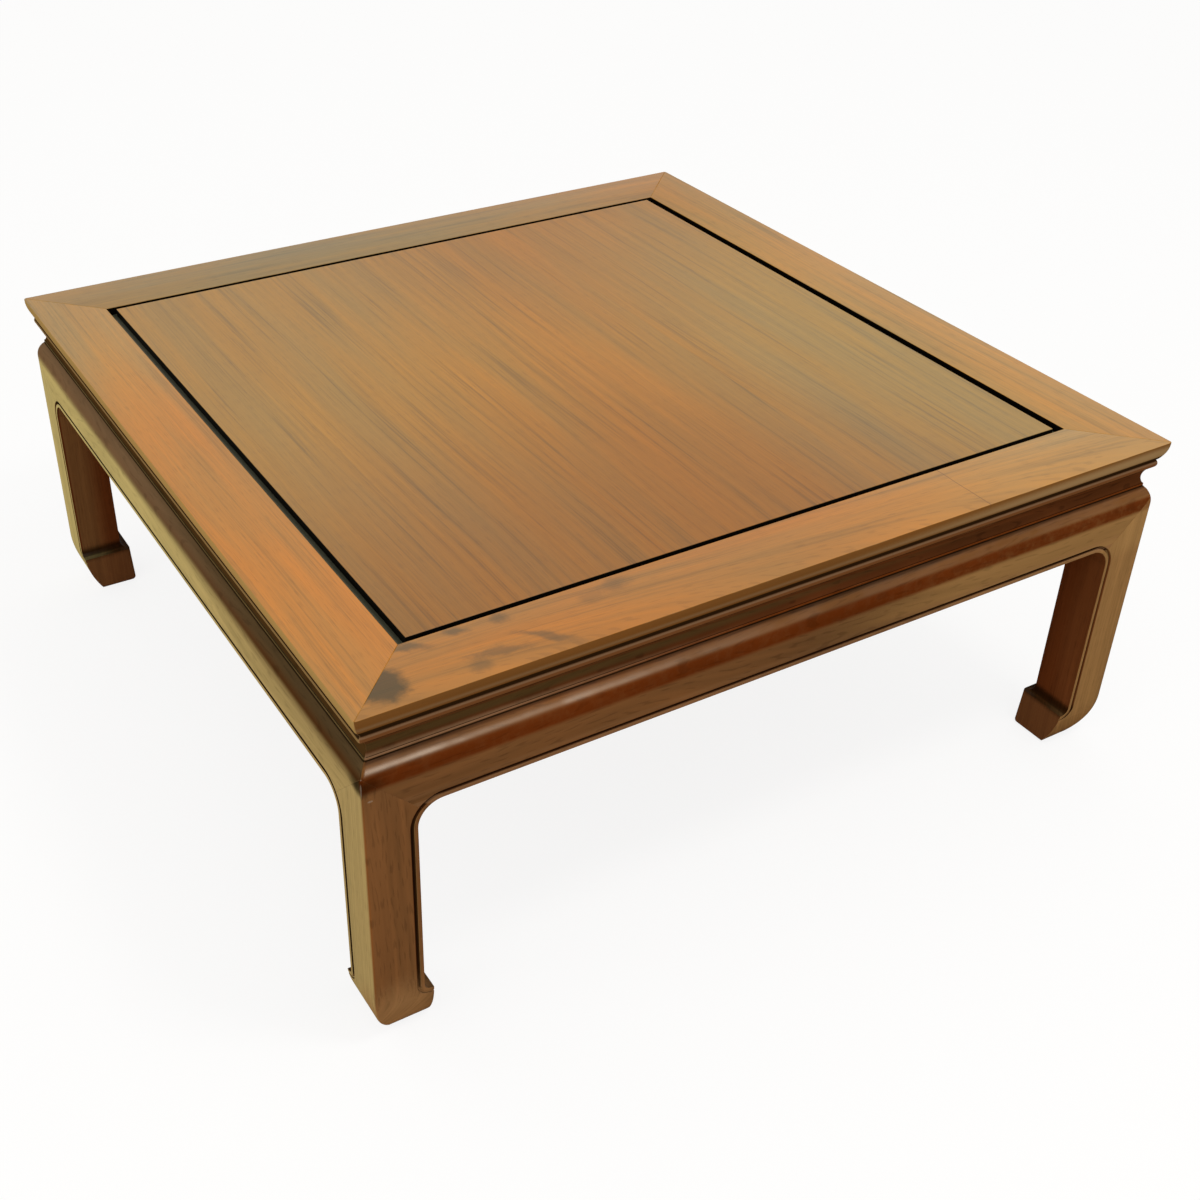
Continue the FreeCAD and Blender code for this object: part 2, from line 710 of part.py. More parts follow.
def main():
    """Builds every piece and writes it under its own name."""
    os.makedirs("parts", exist_ok=True)
    cutters = {side: groove_cutter(side) for side in SIDES}
    blank = leg_blank()
    eased = arris_eased(blank)
    pieces = {}
    pieces.update(build_rails())
    pieces.update(build_panel())
    pieces.update(build_braces())
    pieces.update(build_waists())
    pieces.update(build_aprons(cutters, blank.cut(eased)))
    pieces.update(build_legs(cutters, toe_eased(eased)))
    pieces.update(build_pegs())
    for name, shape in pieces.items():
        print(name, "solids", len(shape.Solids), "volume", round(shape.Volume), "valid", shape.isValid())
        shape.exportStep("parts/" + name + ".step")


main()
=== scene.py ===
"""Looks of a low waisted table with hoof feet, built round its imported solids."""

import logging
import math
from dataclasses import dataclass, field
from enum import Enum
from typing import Any

import bmesh
import bpy
from mathutils import Matrix, Vector


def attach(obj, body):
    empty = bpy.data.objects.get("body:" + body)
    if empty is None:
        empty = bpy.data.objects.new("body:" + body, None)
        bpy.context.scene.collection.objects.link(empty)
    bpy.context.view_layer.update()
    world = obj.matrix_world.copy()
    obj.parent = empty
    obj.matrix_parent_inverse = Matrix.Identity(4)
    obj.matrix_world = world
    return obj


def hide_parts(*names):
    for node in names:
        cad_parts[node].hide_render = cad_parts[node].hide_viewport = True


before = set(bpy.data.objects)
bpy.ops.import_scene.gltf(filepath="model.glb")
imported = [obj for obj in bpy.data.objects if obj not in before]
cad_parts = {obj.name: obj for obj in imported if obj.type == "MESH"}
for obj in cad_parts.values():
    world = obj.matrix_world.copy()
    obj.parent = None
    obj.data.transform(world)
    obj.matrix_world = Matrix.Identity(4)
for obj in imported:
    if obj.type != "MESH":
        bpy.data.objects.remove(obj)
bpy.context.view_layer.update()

log = logging.getLogger("table")

Number = float | int
Point = tuple[float, float]
Place = tuple[float, float, float]
Way = Place
Colour = Place

MM = 0.001
MEAN = 0.5
QUARTER_TURN = math.pi / 2
UP: Way = (0.0, 0.0, 1.0)
DOWN: Way = (0.0, 0.0, -1.0)
WHITE: Colour = (1.0, 1.0, 1.0)
ROOT = "root"
EDGE_ATTRIBUTE = "edge"
IMAGE_SIZE = 1200
SENSOR_WIDTH = 36.0


class Grain(Enum):
    """Direction in which the wood of a piece grew, as (along, across, deep) axes."""

    X = (0, 1, 2)
    Y = (1, 0, 2)
    Z = (2, 0, 1)


class Side(Enum):
    """Sides of the table, with their quarter turns from the front."""

    FRONT = 0
    RIGHT = 1
    BACK = 2
    LEFT = 3

    @property
    def word(self) -> str:
        """Name of the side as it stands in the names of pieces."""
        return self.name.lower()

    @property
    def outward(self) -> Way:
        """Direction in which the side looks."""
        angle = QUARTER_TURN * (self.value - 1)
        return (round(math.cos(angle)), round(math.sin(angle)), 0.0)

    @property
    def grain(self) -> Grain:
        """Grain of a piece that runs along the side."""
        return Grain.X if self in (Side.FRONT, Side.BACK) else Grain.Y


class Corner(Enum):
    """Corners of the table, as the signs of their two coordinates."""

    FRONT_LEFT = (-1, -1)
    FRONT_RIGHT = (1, -1)
    BACK_RIGHT = (1, 1)
    BACK_LEFT = (-1, 1)

    @property
    def sides(self) -> tuple[Side, Side]:
        """The two sides that meet at the corner."""
        x, y = self.value
        return (Side.RIGHT if x > 0 else Side.LEFT, Side.BACK if y > 0 else Side.FRONT)


class Laying(Enum):
    """How a mark meets the colour under it."""

    COVER = "MIX"
    TINT = "MULTIPLY"


class Value:
    """Socket of a node tree, with Python operators that add Math nodes."""

    def __init__(self, web: "Web", socket: bpy.types.NodeSocket) -> None:
        """Wraps one output socket of a web."""
        self.web = web
        self.socket = socket

    def __add__(self, other: "Value | Number") -> "Value":
        """Sum."""
        return self.web.math("ADD", self, other)

    __radd__ = __add__

    def __sub__(self, other: "Value | Number") -> "Value":
        """Difference."""
        return self.web.math("SUBTRACT", self, other)

    def __rsub__(self, other: Number) -> "Value":
        """Difference from a number."""
        return self.web.math("SUBTRACT", other, self)

    def __mul__(self, other: "Value | Number") -> "Value":
        """Product."""
        return self.web.math("MULTIPLY", self, other)

    __rmul__ = __mul__

    def __truediv__(self, other: "Value | Number") -> "Value":
        """Quotient."""
        return self.web.math("DIVIDE", self, other)

    def __neg__(self) -> "Value":
        """Negative."""
        return self.web.math("MULTIPLY", self, -1.0)

    def __abs__(self) -> "Value":
        """Size without its sign."""
        return self.web.math("ABSOLUTE", self)


class Web:
    """Node tree that is written as expressions."""

    def __init__(self, tree: bpy.types.NodeTree) -> None:
        """Wraps an empty tree."""
        self.tree = tree

    @classmethod
    def of(cls, block: bpy.types.Material | bpy.types.World) -> "Web":
        """Empties the tree of a material or a world, and wraps it."""
        block.use_nodes = True
        block.node_tree.nodes.clear()
        return cls(block.node_tree)

    def node(
        self,
        kind: str,
        settings: dict[str, Any] | None = None,
        inputs: dict[str | int, Any] | None = None,
        output: str | int = 0,
    ) -> Value:
        """Adds a node.

        Args:
            kind: Blender's type of the node.
            settings: properties that are set first.
            inputs: values or links by the sockets' names or numbers.
            output: name or number of the socket that is returned.

        Returns:
            The chosen output, or the first input of a node that ends the tree.
        """
        made = self.tree.nodes.new(kind)
        for name, value in (settings or {}).items():
            setattr(made, name, value)
        for key, value in (inputs or {}).items():
            socket = self._socket(made.inputs, key)
            if isinstance(value, Value):
                self.tree.links.new(value.socket, socket)
            else:
                socket.default_value = value
        return Value(self, self._socket(made.outputs or made.inputs, output))

    def _socket(self, sockets: Any, key: str | int) -> bpy.types.NodeSocket:
        """Finds a socket by number, identifier or name."""
        known = {socket.identifier: socket for socket in sockets}
        return known[key] if key in known else sockets[key]

    def math(self, operation: str, *values: Value | Number, clamp: bool = False) -> Value:
        """Adds a Math node on values."""
        settings = {"operation": operation, "use_clamp": clamp}
        return self.node("ShaderNodeMath", settings, dict(enumerate(values)))

    def vector(self, x: Value | Number, y: Value | Number, z: Value | Number) -> Value:
        """Joins three values to a vector."""
        return self.node("ShaderNodeCombineXYZ", {}, {0: x, 1: y, 2: z})

    def split(self, vector: Value) -> list[Value]:
        """Takes a vector apart into three values."""
        return [self.node("ShaderNodeSeparateXYZ", {}, {0: vector}, axis) for axis in range(3)]

    def scaled(self, colour: Value, share: Value) -> Value:
        """Makes a colour darker or lighter."""
        return self.node("ShaderNodeVectorMath", {"operation": "SCALE"}, {0: colour, "Scale": share})

    def blend(self, factor: Value | Number, first: Any, second: Any, kind: str = "MIX") -> Value:
        """Lays a second colour over a first one, as far as a factor says."""
        inputs = {"Factor_Float": factor, "A_Color": opaque(first), "B_Color": opaque(second)}
        return self.node("ShaderNodeMix", {"data_type": "RGBA", "blend_type": kind}, inputs, "Result_Color")

    def noise(
        self, place: Value, scale: float, detail: float, rough: float = 0.5, flat: bool = False
    ) -> Value:
        """Noise about one half, which leaves out the third coordinate where it is flat."""
        inputs = {"Vector": place, "Scale": scale, "Detail": detail, "Roughness": rough}
        return self.node("ShaderNodeTexNoise", {"noise_dimensions": "2D" if flat else "3D"}, inputs, "Fac")

    def step(self, value: Value | Number, low: float, high: float) -> Value:
        """Smooth step from 0 at low to 1 at high."""
        inputs = {"Value": value, "From Min": low, "From Max": high}
        return self.node("ShaderNodeMapRange", {"interpolation_type": "SMOOTHSTEP"}, inputs)

    def within(self, value: Value, reach: float, soft: float) -> Value:
        """Smooth step from 1 below a reach to 0 beyond it."""
        return 1.0 - self.step(value, reach - soft, reach + soft)


def opaque(colour: Any) -> Any:
    """Adds alpha to a plain colour, and leaves a linked one alone."""
    return (*colour, 1.0) if isinstance(colour, tuple) else colour


@dataclass(frozen=True)
class Surface:
    """What a finish reads of the point that it shades, and the painted shade that takes its polish away."""

    web: Web
    place: list[Value]
    look: list[Value]
    edge: Value
    # Masks of painted shade, where the polish is taken away.
    painted_shade: list[Value] = field(default_factory=list)

    @classmethod
    def read(cls, web: Web) -> "Surface":
        """Adds the nodes that read the place, the way the face looks and the edge attribute.

        Args:
            web: tree of the finish.

        Returns:
            The point that the tree shades.
        """
        place, look = (
            web.split(web.node("ShaderNodeTexCoord", {}, {}, name)) for name in ("Object", "Normal")
        )
        edge = web.node("ShaderNodeAttribute", {"attribute_name": EDGE_ATTRIBUTE}, {}, "Fac")
        return cls(web, place, look, edge)

    def _share(self, values: list[Value], way: Way) -> Value:
        """How far three values reach one way."""
        shares = [value * share for value, share in zip(values, way) if share]
        return sum(shares[1:], shares[0])

    def turned(self, way: Way) -> Value:
        """How squarely a face looks one way, 1 for fully."""
        return self._share(self.look, way)

    def out(self, way: Way) -> Value:
        """How far one way the point lies from the middle."""
        return self._share(self.place, way)

    def noise(self, scale: float, detail: float = 3.0, rough: float = 0.6) -> Value:
        """Noise at the point, about one half."""
        return self.web.noise(self.web.vector(*self.place), scale, detail, rough)


class Mark:
    """Stain, wear, painted light or painted shade over the wood."""

    colour: Colour
    laying: Laying = Laying.COVER

    def mask(self, surface: Surface) -> Value:
        """How much of the mark lies on a point, from 0 to 1."""
        raise NotImplementedError

    def lay(self, surface: Surface, colour: Value) -> Value:
        """Blends the mark into the colour under it."""
        return surface.web.blend(self.mask(surface), colour, self.colour, self.laying.value)


@dataclass(frozen=True)
class Facing(Mark):
    """Colour of the faces that look one way, as a stain, painted light or painted shade."""

    way: Way
    colour: Colour
    cover: float = 0.8
    start: float = 0.35
    full: float = 0.85

    def mask(self, surface: Surface) -> Value:
        """Full where a face looks squarely that way."""
        return surface.web.step(surface.turned(self.way), self.start, self.full) * self.cover


@dataclass(frozen=True)
class Band(Mark):
    """Stain, painted light, shade or highlight between two levels, on all faces or those that look one way.
    """

    low: float
    high: float
    colour: Colour
    cover: float = 0.8
    soft: float = 1.0 * MM
    way: Way | None = None
    dulls: bool = False
    mottle: float = 0.0
    turn: Point = (0.3, 0.6)
    lump_noise: Place = (90.0, 4.0, 0.65)
    lumps: Point = (0.40, 0.70)

    def mask(self, surface: Surface) -> Value:
        """Full between the levels, soft at both, and thinner where it is mottled.

        Args:
            surface: point that is shaded.

        Returns:
            The share of the colour.
        """
        web = surface.web
        level = surface.place[2]
        above = web.step(level, self.low - self.soft, self.low + self.soft)
        mask = above * web.within(level, self.high, self.soft) * self.cover
        if self.way:
            mask = mask * web.step(surface.turned(self.way), *self.turn)
        if self.mottle:
            lumps = surface.noise(*self.lump_noise)
            mask = mask * (1.0 - web.step(lumps, *self.lumps) * self.mottle)
        if self.dulls:
            surface.painted_shade.append(mask)
        return mask


@dataclass(frozen=True)
class Sunk(Mark):
    """Painted shade in a groove that lies behind a flat face, short of the rounded corners."""

    way: Way
    face: float
    deep: float
    reach: float
    low: float
    high: float
    colour: Colour
    cover: float = 0.95
    start: float = 0.1 * MM
    soft: float = 0.4 * MM

    def mask(self, surface: Surface) -> Value:
        """Full behind the face, down to the bottom of the groove, between two levels.

        Args:
            surface: point that is shaded.

        Returns:
            The share of the painted shade.
        """
        web = surface.web
        behind = self.face - surface.out(self.way)
        along = abs(surface.place[0 if self.way[1] else 1])
        level = surface.place[2]
        mask = web.step(behind, self.start, self.soft) * web.step(level, self.low, self.low + self.soft)
        for value, end in ((behind, self.deep), (level, self.high), (along, self.reach)):
            mask = mask * (1.0 - web.step(value, end, end + self.soft))
        surface.painted_shade.append(mask)
        return mask * self.cover


@dataclass(frozen=True)
class Recess(Mark):
    """Painted shade in the gap round the panel, black on its walls and greenish grey on its floor."""

    top: float
    foot: float
    reach: float
    # Painted shade on the walls of the gap.
    wall: Colour = (0.004, 0.003, 0.002)
    floor: Colour = (0.070, 0.072, 0.045)
    soft: float = 0.3 * MM
    turn: Point = (0.4, 0.8)

    def mask(self, surface: Surface) -> Value:
        """Full between two levels, within a square round the middle.

        Args:
            surface: point that is shaded.

        Returns:
            The share of the painted shade.
        """
        web = surface.web
        x, y, z = surface.place
        inside = web.step(self.reach - web.math("MAXIMUM", abs(x), abs(y)), 0.0, self.soft)
        return inside * (web.step(self.top - z, 0.0, self.soft) * web.step(z - self.foot, 0.0, self.soft))

    def lay(self, surface: Surface, colour: Value) -> Value:
        """Blends the painted shade of the walls and the floor into the colour under it."""
        painted_shade = surface.web.blend(surface.web.step(surface.look[2], *self.turn), self.wall, self.floor)
        return surface.web.blend(self.mask(surface), colour, painted_shade)


@dataclass(frozen=True)
class Blotch(Mark):
    """Smoky dark patch of the wood with a ragged edge, seen on the top."""

    centre: Point
    half: Point
    turn: float = 0.0
    colour: Colour = (0.105, 0.068, 0.028)
    strength: float = 0.7
    ragged: float = 0.8
    soft: float = 0.6
    warp: float = 12.0 * MM
    warp_scale: float = 60.0
    warp_layers: Point = (0.0, 0.3)
    fringe_scale: float = 260.0

    def mask(self, surface: Surface) -> Value:
        """Full inside a turned ellipse that is warped and has a fringe.

        Args:
            surface: point that is shaded.

        Returns:
            The share of the patch.
        """
        web = surface.web
        flat = surface.place[:2]
        warps = [
            web.noise(web.vector(*flat, layer), self.warp_scale, 1.0) - MEAN for layer in self.warp_layers
        ]
        x, y = (
            place - middle + warp * self.warp for place, middle, warp in zip(flat, self.centre, warps)
        )
        cosine = math.cos(self.turn)
        sine = math.sin(self.turn)
        along = (x * cosine + y * sine) / self.half[0]
        across = (y * cosine - x * sine) / self.half[1]
        fringe = surface.noise(self.fringe_scale) - MEAN
        distance = web.math("SQRT", along * along + across * across) + fringe * self.ragged
        return web.within(distance, 1.0, self.soft) * self.strength


@dataclass(frozen=True)
class Patch(Mark):
    """Dark many-sided patch beside a joint, seen on the top."""

    corners: tuple[Point, ...]
    colour: Colour = (0.060, 0.045, 0.018)
    strength: float = 0.85
    ragged: float = 10.0 * MM
    soft: float = 6.5 * MM
    fringe_scale: float = 160.0

    def mask(self, surface: Surface) -> Value:
        """Full inside the sides that join the corners in turn.

        Args:
            surface: point that is shaded.

        Returns:
            The share of the patch.
        """
        web = surface.web
        x, y, _ = surface.place
        outside: Value | None = None
        for start, end in zip(self.corners, self.corners[1:]):
            run = Vector(end) - Vector(start)
            out = Vector((-run.y, run.x)).normalized()
            beyond = x * out.x + y * out.y - out.dot(Vector(start))
            outside = web.math("MAXIMUM", outside, beyond) if outside else beyond
        fringe = surface.noise(self.fringe_scale) - MEAN
        return web.within(outside + fringe * self.ragged, 0.0, self.soft) * self.strength


@dataclass(frozen=True)
class Score(Mark):
    """Fine dark line across a rail."""

    at: float
    half_width: float = 0.5 * MM
    colour: Colour = (0.16, 0.075, 0.028)
    strength: float = 0.7
    soft: float = 0.3 * MM
    wander: float = 4.0 * MM
    wander_noise: Place = (30.0, 1.0, 0.5)

    def mask(self, surface: Surface) -> Value:
        """Full along a line that wanders a little."""
        off = surface.place[0] - self.at + (surface.noise(*self.wander_noise) - MEAN) * self.wander
        return surface.web.within(abs(off), self.half_width, self.soft) * self.strength


@dataclass(frozen=True)
class Scuff(Mark):
    """Spot or long stretch of another colour: a rub, a knock, painted light or painted shade."""

    centre: Place
    half: Place
    colour: Colour
    strength: float = 0.7
    ragged: float = 0.6
    soft: float = 0.3
    laying: Laying = Laying.COVER
    fringe_scale: float = 350.0

    def mask(self, surface: Surface) -> Value:
        """Full inside an ellipsoid with a fringe.

        Args:
            surface: point that is shaded.

        Returns:
            The share of the spot.
        """
        web = surface.web
        spans = zip(surface.place, self.centre, self.half)
        shares = [(place - middle) / half for place, middle, half in spans]
        x, y, z = (share * share for share in shares)
        fringe = surface.noise(self.fringe_scale) - MEAN
        distance = web.math("SQRT", x + y + z) + fringe * self.ragged
        return web.within(distance, 1.0, self.soft) * self.strength


def tone(centre: Place, half: Point, tint: Colour, deep: float = 50.0 * MM) -> Scuff:
    """Broad soft stretch of the top in which the wood's own colour is tinted."""
    return Scuff(centre, (*half, deep), tint, strength=1.0, ragged=0.0, soft=0.6, laying=Laying.TINT)


@dataclass(frozen=True)
class Heart:
    """Where the log's heart lay beside a piece, in metres of the table's frame."""

    across: float
    deep: float
    tilt: float = 0.0


@dataclass(frozen=True)
class Seeds:
    """Seeds of the grain for a row of pieces."""

    first: float
    step: float

    def of(self, index: int) -> float:
        """Seed of one piece of the row."""
        return self.step * index + self.first


@dataclass(frozen=True)
class Palette:
    """Colours of a wood: dull and warm stretches, veins, worn edges, and deep corners in soil and painted
    shade.
    """

    dull: Colour
    warm: Colour
    vein: Colour
    worn: Colour
    # Soiling and painted shade of the deep corners.
    grime_and_shade: Colour


@dataclass(frozen=True)
class Lacquer:
    """Clear finish over the wood, with the polish that upward faces keep, worn away in patches."""

    roughness: float
    specular: float = 0.0
    polish: float = 0.0
    polish_roughness: float = 0.3
    polish_start: float = 0.15
    polish_full: float = 0.60
    patchy: float = 0.0
    dull: Way | None = None


@dataclass(frozen=True)
class Figure:
    """How strongly the grain shows, by itself and through the stains and painted light and shade over it."""

    sway: float = 0.010
    streak: float = 0.55
    veins: float = 0.25
    patch: float = 1.0
    through: float = 0.0


@dataclass(frozen=True)
class Stock:
    """Wood and finish that pieces share."""

    palette: Palette
    lacquer: Lacquer
    figure: Figure = Figure()


@dataclass(frozen=True)
class Layer:
    """One layer of the wood's noise: how fine it is across and along the grain, and its finer layers."""

    across: float
    along: float
    detail: float
    rough: float = 0.5


@dataclass(frozen=True)
class Plank:
    """Where a point lies in the log that its piece was sawn from."""

    web: Web
    along: Value
    across: Value
    deep: Value
    seed: float

    def lumps(self, layer: Layer) -> Value:
        """Noise about one half, drawn out along the grain."""
        fine = layer.across
        place = self.web.vector(self.across * fine, self.along * layer.along + self.seed, self.deep * fine)
        return self.web.noise(place, 1.0, layer.detail, layer.rough)

    def grown(self, rings: Value, layer: Layer) -> Value:
        """Noise about one half that follows the rings."""
        place = self.web.vector(rings * layer.across, self.along * layer.along + self.seed, 0.0)
        return self.web.noise(place, 1.0, layer.detail, layer.rough, True)


@dataclass(frozen=True)
class Rosewood:
    """Lacquered rosewood of one piece, with the marks of its age and its painted light and shade."""

    piece: str
    grain: Grain
    heart: Heart
    stock: Stock
    seed: float
    marks: tuple[Mark, ...] = ()
    wear: float = 0.6
    # Strength of the soiling and painted shade in deep corners.
    grime_and_shade: float = 0.95
    slow: Layer = Layer(3.0, 1.5, 1.0)
    slow_sway: float = 2.0
    quick: Layer = Layer(20.0, 5.0, 1.0)
    quick_sway: float = 0.25
    narrow: Layer = Layer(150.0, 2.6, 2.0, 0.6)
    narrow_share: float = 0.62
    fine: Layer = Layer(600.0, 7.0, 1.0)
    fine_share: float = 0.38
    dashes: Layer = Layer(1500.0, 55.0, 0.0)
    pores: Point = (0.62, 0.78)
    pore_share: float = 0.2
    patches: Layer = Layer(22.0, 2.4, 3.0, 0.55)
    patch_reach: float = 0.17
    patch_streaks: float = 0.5
    veins: Point = (0.30, 0.45)
    stain_level: float = 1.02
    rub: Layer = Layer(30.0, 18.0, 3.0, 0.6)
    worn_edge: Point = (0.2, 0.9)
    worn_rub: Point = (0.44, 0.70)
    bare_rub: Point = (0.40, 0.62)
    deep_edge: Point = (0.02, 0.5)
    bare_edge: Point = (0.1, 0.5)
    dull_turn: Point = (0.15, 0.45)
    streak_rough: float = 0.08
    rub_rough: float = 0.10
    worn_rough: float = 0.15
    relief: float = 0.10
    relief_deep: float = 0.3 * MM
    relief_streaks: float = 0.5

    def material(self) -> bpy.types.Material:
        """Builds the finish.

        Returns:
            A node material that reads object coordinates and the edge attribute.
        """
        made = bpy.data.materials.new(self.piece + "_wood")
        web = Web.of(made)
        surface = Surface.read(web)
        plank = Plank(web, *(surface.place[axis] for axis in self.grain.value), self.seed)
        rings = self._rings(plank)
        streaks = plank.grown(rings, self.narrow) * self.narrow_share
        streaks = streaks + plank.grown(rings, self.fine) * self.fine_share
        pores = web.step(plank.grown(rings, self.dashes), *self.pores)
        colour = self._colour(plank, rings, streaks, pores)
        for mark in self.marks:
            colour = mark.lay(surface, colour)
        through = self.stock.figure.through
        if through:
            shade = (streaks - MEAN - pores * self.pore_share) * through
            colour = web.scaled(colour, self.stain_level + shade)
        rub = plank.lumps(self.rub)
        worn = web.step(surface.edge, *self.worn_edge) * web.step(rub, *self.worn_rub) * self.wear
        colour = web.blend(worn, colour, self.stock.palette.worn)
        # Soiling and painted shade darken the deep corners.
        deep = web.step(-surface.edge, *self.deep_edge) * self.grime_and_shade
        colour = web.blend(deep, colour, self.stock.palette.grime_and_shade)
        lacquer = self.stock.lacquer
        rough = lacquer.roughness + (streaks - MEAN) * self.streak_rough + (rub - MEAN) * self.rub_rough
        height = streaks * self.relief_streaks - pores
        bump = {"Strength": self.relief, "Distance": self.relief_deep, "Height": height}
        sockets = {
            "Base Color": colour,
            "Roughness": rough + worn * self.worn_rough,
            "Normal": web.node("ShaderNodeBump", {}, bump),
            "Specular IOR Level": lacquer.specular,
        }
        if lacquer.polish:
            kept = 1.0 - web.step(rub, *self.bare_rub) * lacquer.patchy
            sockets["Coat Weight"] = self._polish(surface) * kept
            sockets["Coat Roughness"] = lacquer.polish_roughness
        shader = web.node("ShaderNodeBsdfPrincipled", {}, sockets)
        web.node("ShaderNodeOutputMaterial", {}, {"Surface": shader})
        return made

    def _polish(self, surface: Surface) -> Value:
        """How much of the polish a face keeps.

        Args:
            surface: point that is shaded.

        Returns:
            The share of the polish, before rubbing.
        """
        web = surface.web
        lacquer = self.stock.lacquer
        kept = web.step(surface.look[2], lacquer.polish_start, lacquer.polish_full) * lacquer.polish
        kept = kept * (1.0 - web.step(abs(surface.edge), *self.bare_edge))
        for painted_shade in surface.painted_shade:
            kept = kept * (1.0 - painted_shade)
        if lacquer.dull:
            kept = kept * (1.0 - web.step(surface.turned(lacquer.dull), *self.dull_turn))
        return kept

    def _rings(self, plank: Plank) -> Value:
        """Distance from the heart of the log, with the slow sway of a grown tree.

        Args:
            plank: point in the log.

        Returns:
            The distance, in metres.
        """
        web = plank.web
        fine = self.slow.across
        drift = web.vector(plank.across * fine + self.seed, plank.along * self.slow.along, plank.deep * fine)
        slow = web.noise(drift, 1.0, self.slow.detail) - MEAN
        quick = plank.lumps(self.quick) - MEAN
        sway = self.stock.figure.sway
        shift = slow * (sway * self.slow_sway) + quick * (sway * self.quick_sway)
        side = plank.across - self.heart.across + shift
        depth = plank.along * self.heart.tilt + plank.deep - self.heart.deep
        return web.math("SQRT", side * side + depth * depth)

    def _colour(self, plank: Plank, rings: Value, streaks: Value, pores: Value) -> Value:
        """Colour of the wood under its finish.

        Args:
            plank: point in the log.
            rings: distance from the log's heart.
            streaks: streaks of the grain about one half.
            pores: mask of the pores.

        Returns:
            The colour.
        """
        web = plank.web
        palette = self.stock.palette
        figure = self.stock.figure
        reach = self.patch_reach / figure.patch
        patch = plank.grown(rings, self.patches) + (streaks - MEAN) * self.patch_streaks
        colour = web.blend(web.step(patch, MEAN - reach, MEAN + reach), palette.dull, palette.warm)
        colour = web.scaled(colour, 1.0 + (streaks - MEAN) * figure.streak)
        dark = 1.0 - web.step(streaks, *self.veins)
        return web.blend(dark * figure.veins + pores * self.pore_share, colour, palette.vein)


def fold(edge: bmesh.types.BMEdge, full: float = math.radians(50)) -> float:
    """Bend across an edge, from -1 for a deep corner to 1 for a sharp edge."""
    bend = edge.calc_face_angle_signed(0.0) if len(edge.link_faces) == 2 else 0.0
    return max(-1.0, min(1.0, bend / full))


def finish_mesh(
    mesh: bpy.types.Mesh, smooth_angle: float = math.radians(40), edge_width: float = 2.6 * MM
) -> None:
    """Points faces outwards, smooths the shading and marks edges for wear and deep corners for painted
    shade.

    Args:
        mesh: mesh that is changed in place.
        smooth_angle: largest angle between faces that are shaded as one surface.
        edge_width: widest face that counts as part of an edge.
    """
    work = bmesh.new()
    work.from_mesh(mesh)
    bmesh.ops.remove_doubles(work, verts=work.verts, dist=1e-6)
    bmesh.ops.recalc_face_normals(work, faces=work.faces)
    for edge in work.edges:
        edge.smooth = len(edge.link_faces) == 2 and edge.calc_face_angle(0.0) < smooth_angle
    layer = work.loops.layers.float.new(EDGE_ATTRIBUTE)
    for face in work.faces:
        face.smooth = True
        area = face.calc_area()
        for corner in face.loops:
            sides = (corner.edge, corner.link_loop_prev.edge)
            folds = [fold(side) for side in sides if area < edge_width * side.calc_length()]
            corner[layer] = max(folds, key=abs, default=0.0)
    work.to_mesh(mesh)
    work.free()


def put(name: str, data: bpy.types.ID) -> bpy.types.Object:
    """Adds an object to the scene."""
    made = bpy.data.objects.new(name, data)
    bpy.context.scene.collection.objects.link(made)
    return made


def add_piece(name: str, mesh: bpy.types.Mesh, node: str) -> bpy.types.Object:
    """Puts a finished mesh in the scene in place of a CAD node.

    Args:
        name: name of the piece.
        mesh: its mesh, in the table's frame.
        node: CAD node that it stands for.

    Returns:
        The new object.
    """
    made = put(name, mesh)
    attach(made, ROOT)
    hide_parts(node)
    log.info("%s: %d faces, stands for %s", name, len(mesh.polygons), node)
    return made


def dress(node: str, wood: Rosewood) -> None:
    """Gives a CAD node that stays in view its finish.

    Args:
        node: name of the node.
        wood: its finish.
    """
    made = wood.material()
    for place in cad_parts[node].material_slots:
        place.material = made
    log.info("%s: dressed", node)


def arc_points(start: Point, end: Point, rise: float, count: int) -> list[Point]:
    """Points of a shallow arc beside a chord.

    Args:
        start: first point as (inset, level).
        end: last point.
        rise: height of the arc to the right of the chord's direction.
        count: number of spans.

    Returns:
        The points between start and end, both included.
    """
    dx = end[0] - start[0]
    dy = end[1] - start[1]
    points = []
    for index in range(count + 1):
        share = index / count
        lift = 4.0 * rise * share * (1.0 - share) / math.hypot(dx, dy)
        points.append((start[0] + dx * share + dy * lift, start[1] + dy * share - dx * lift))
    return points


def eased(
    points: list[Point],
    radius: float,
    spans: int = 3,
    least_bend: float = math.radians(18),
    most_share: float = 0.45,
) -> list[Point]:
    """Rounds the sharp corners of a closed outline.

    Args:
        points: corners of the outline in order.
        radius: distance from a corner at which its rounding starts.
        spans: number of spans of each rounding.
        least_bend: smallest bend that is rounded.
        most_share: largest share of a side that one rounding takes.

    Returns:
        The outline with rounded corners.
    """
    made: list[Point] = []
    for index, point in enumerate(points):
        here = Vector(point)
        before = Vector(points[index - 1]) - here
        after = Vector(points[(index + 1) % len(points)]) - here
        if math.pi - before.angle(after) < least_bend:
            made.append(point)
            continue
        reach = min(radius, most_share * before.length, most_share * after.length)
        start = here + before.normalized() * reach
        end = here + after.normalized() * reach
        for step in range(spans + 1):
            share = step / spans
            curve = start * (1 - share) ** 2 + here * 2 * share * (1 - share) + end * share ** 2
            made.append((curve.x, curve.y))
    return made


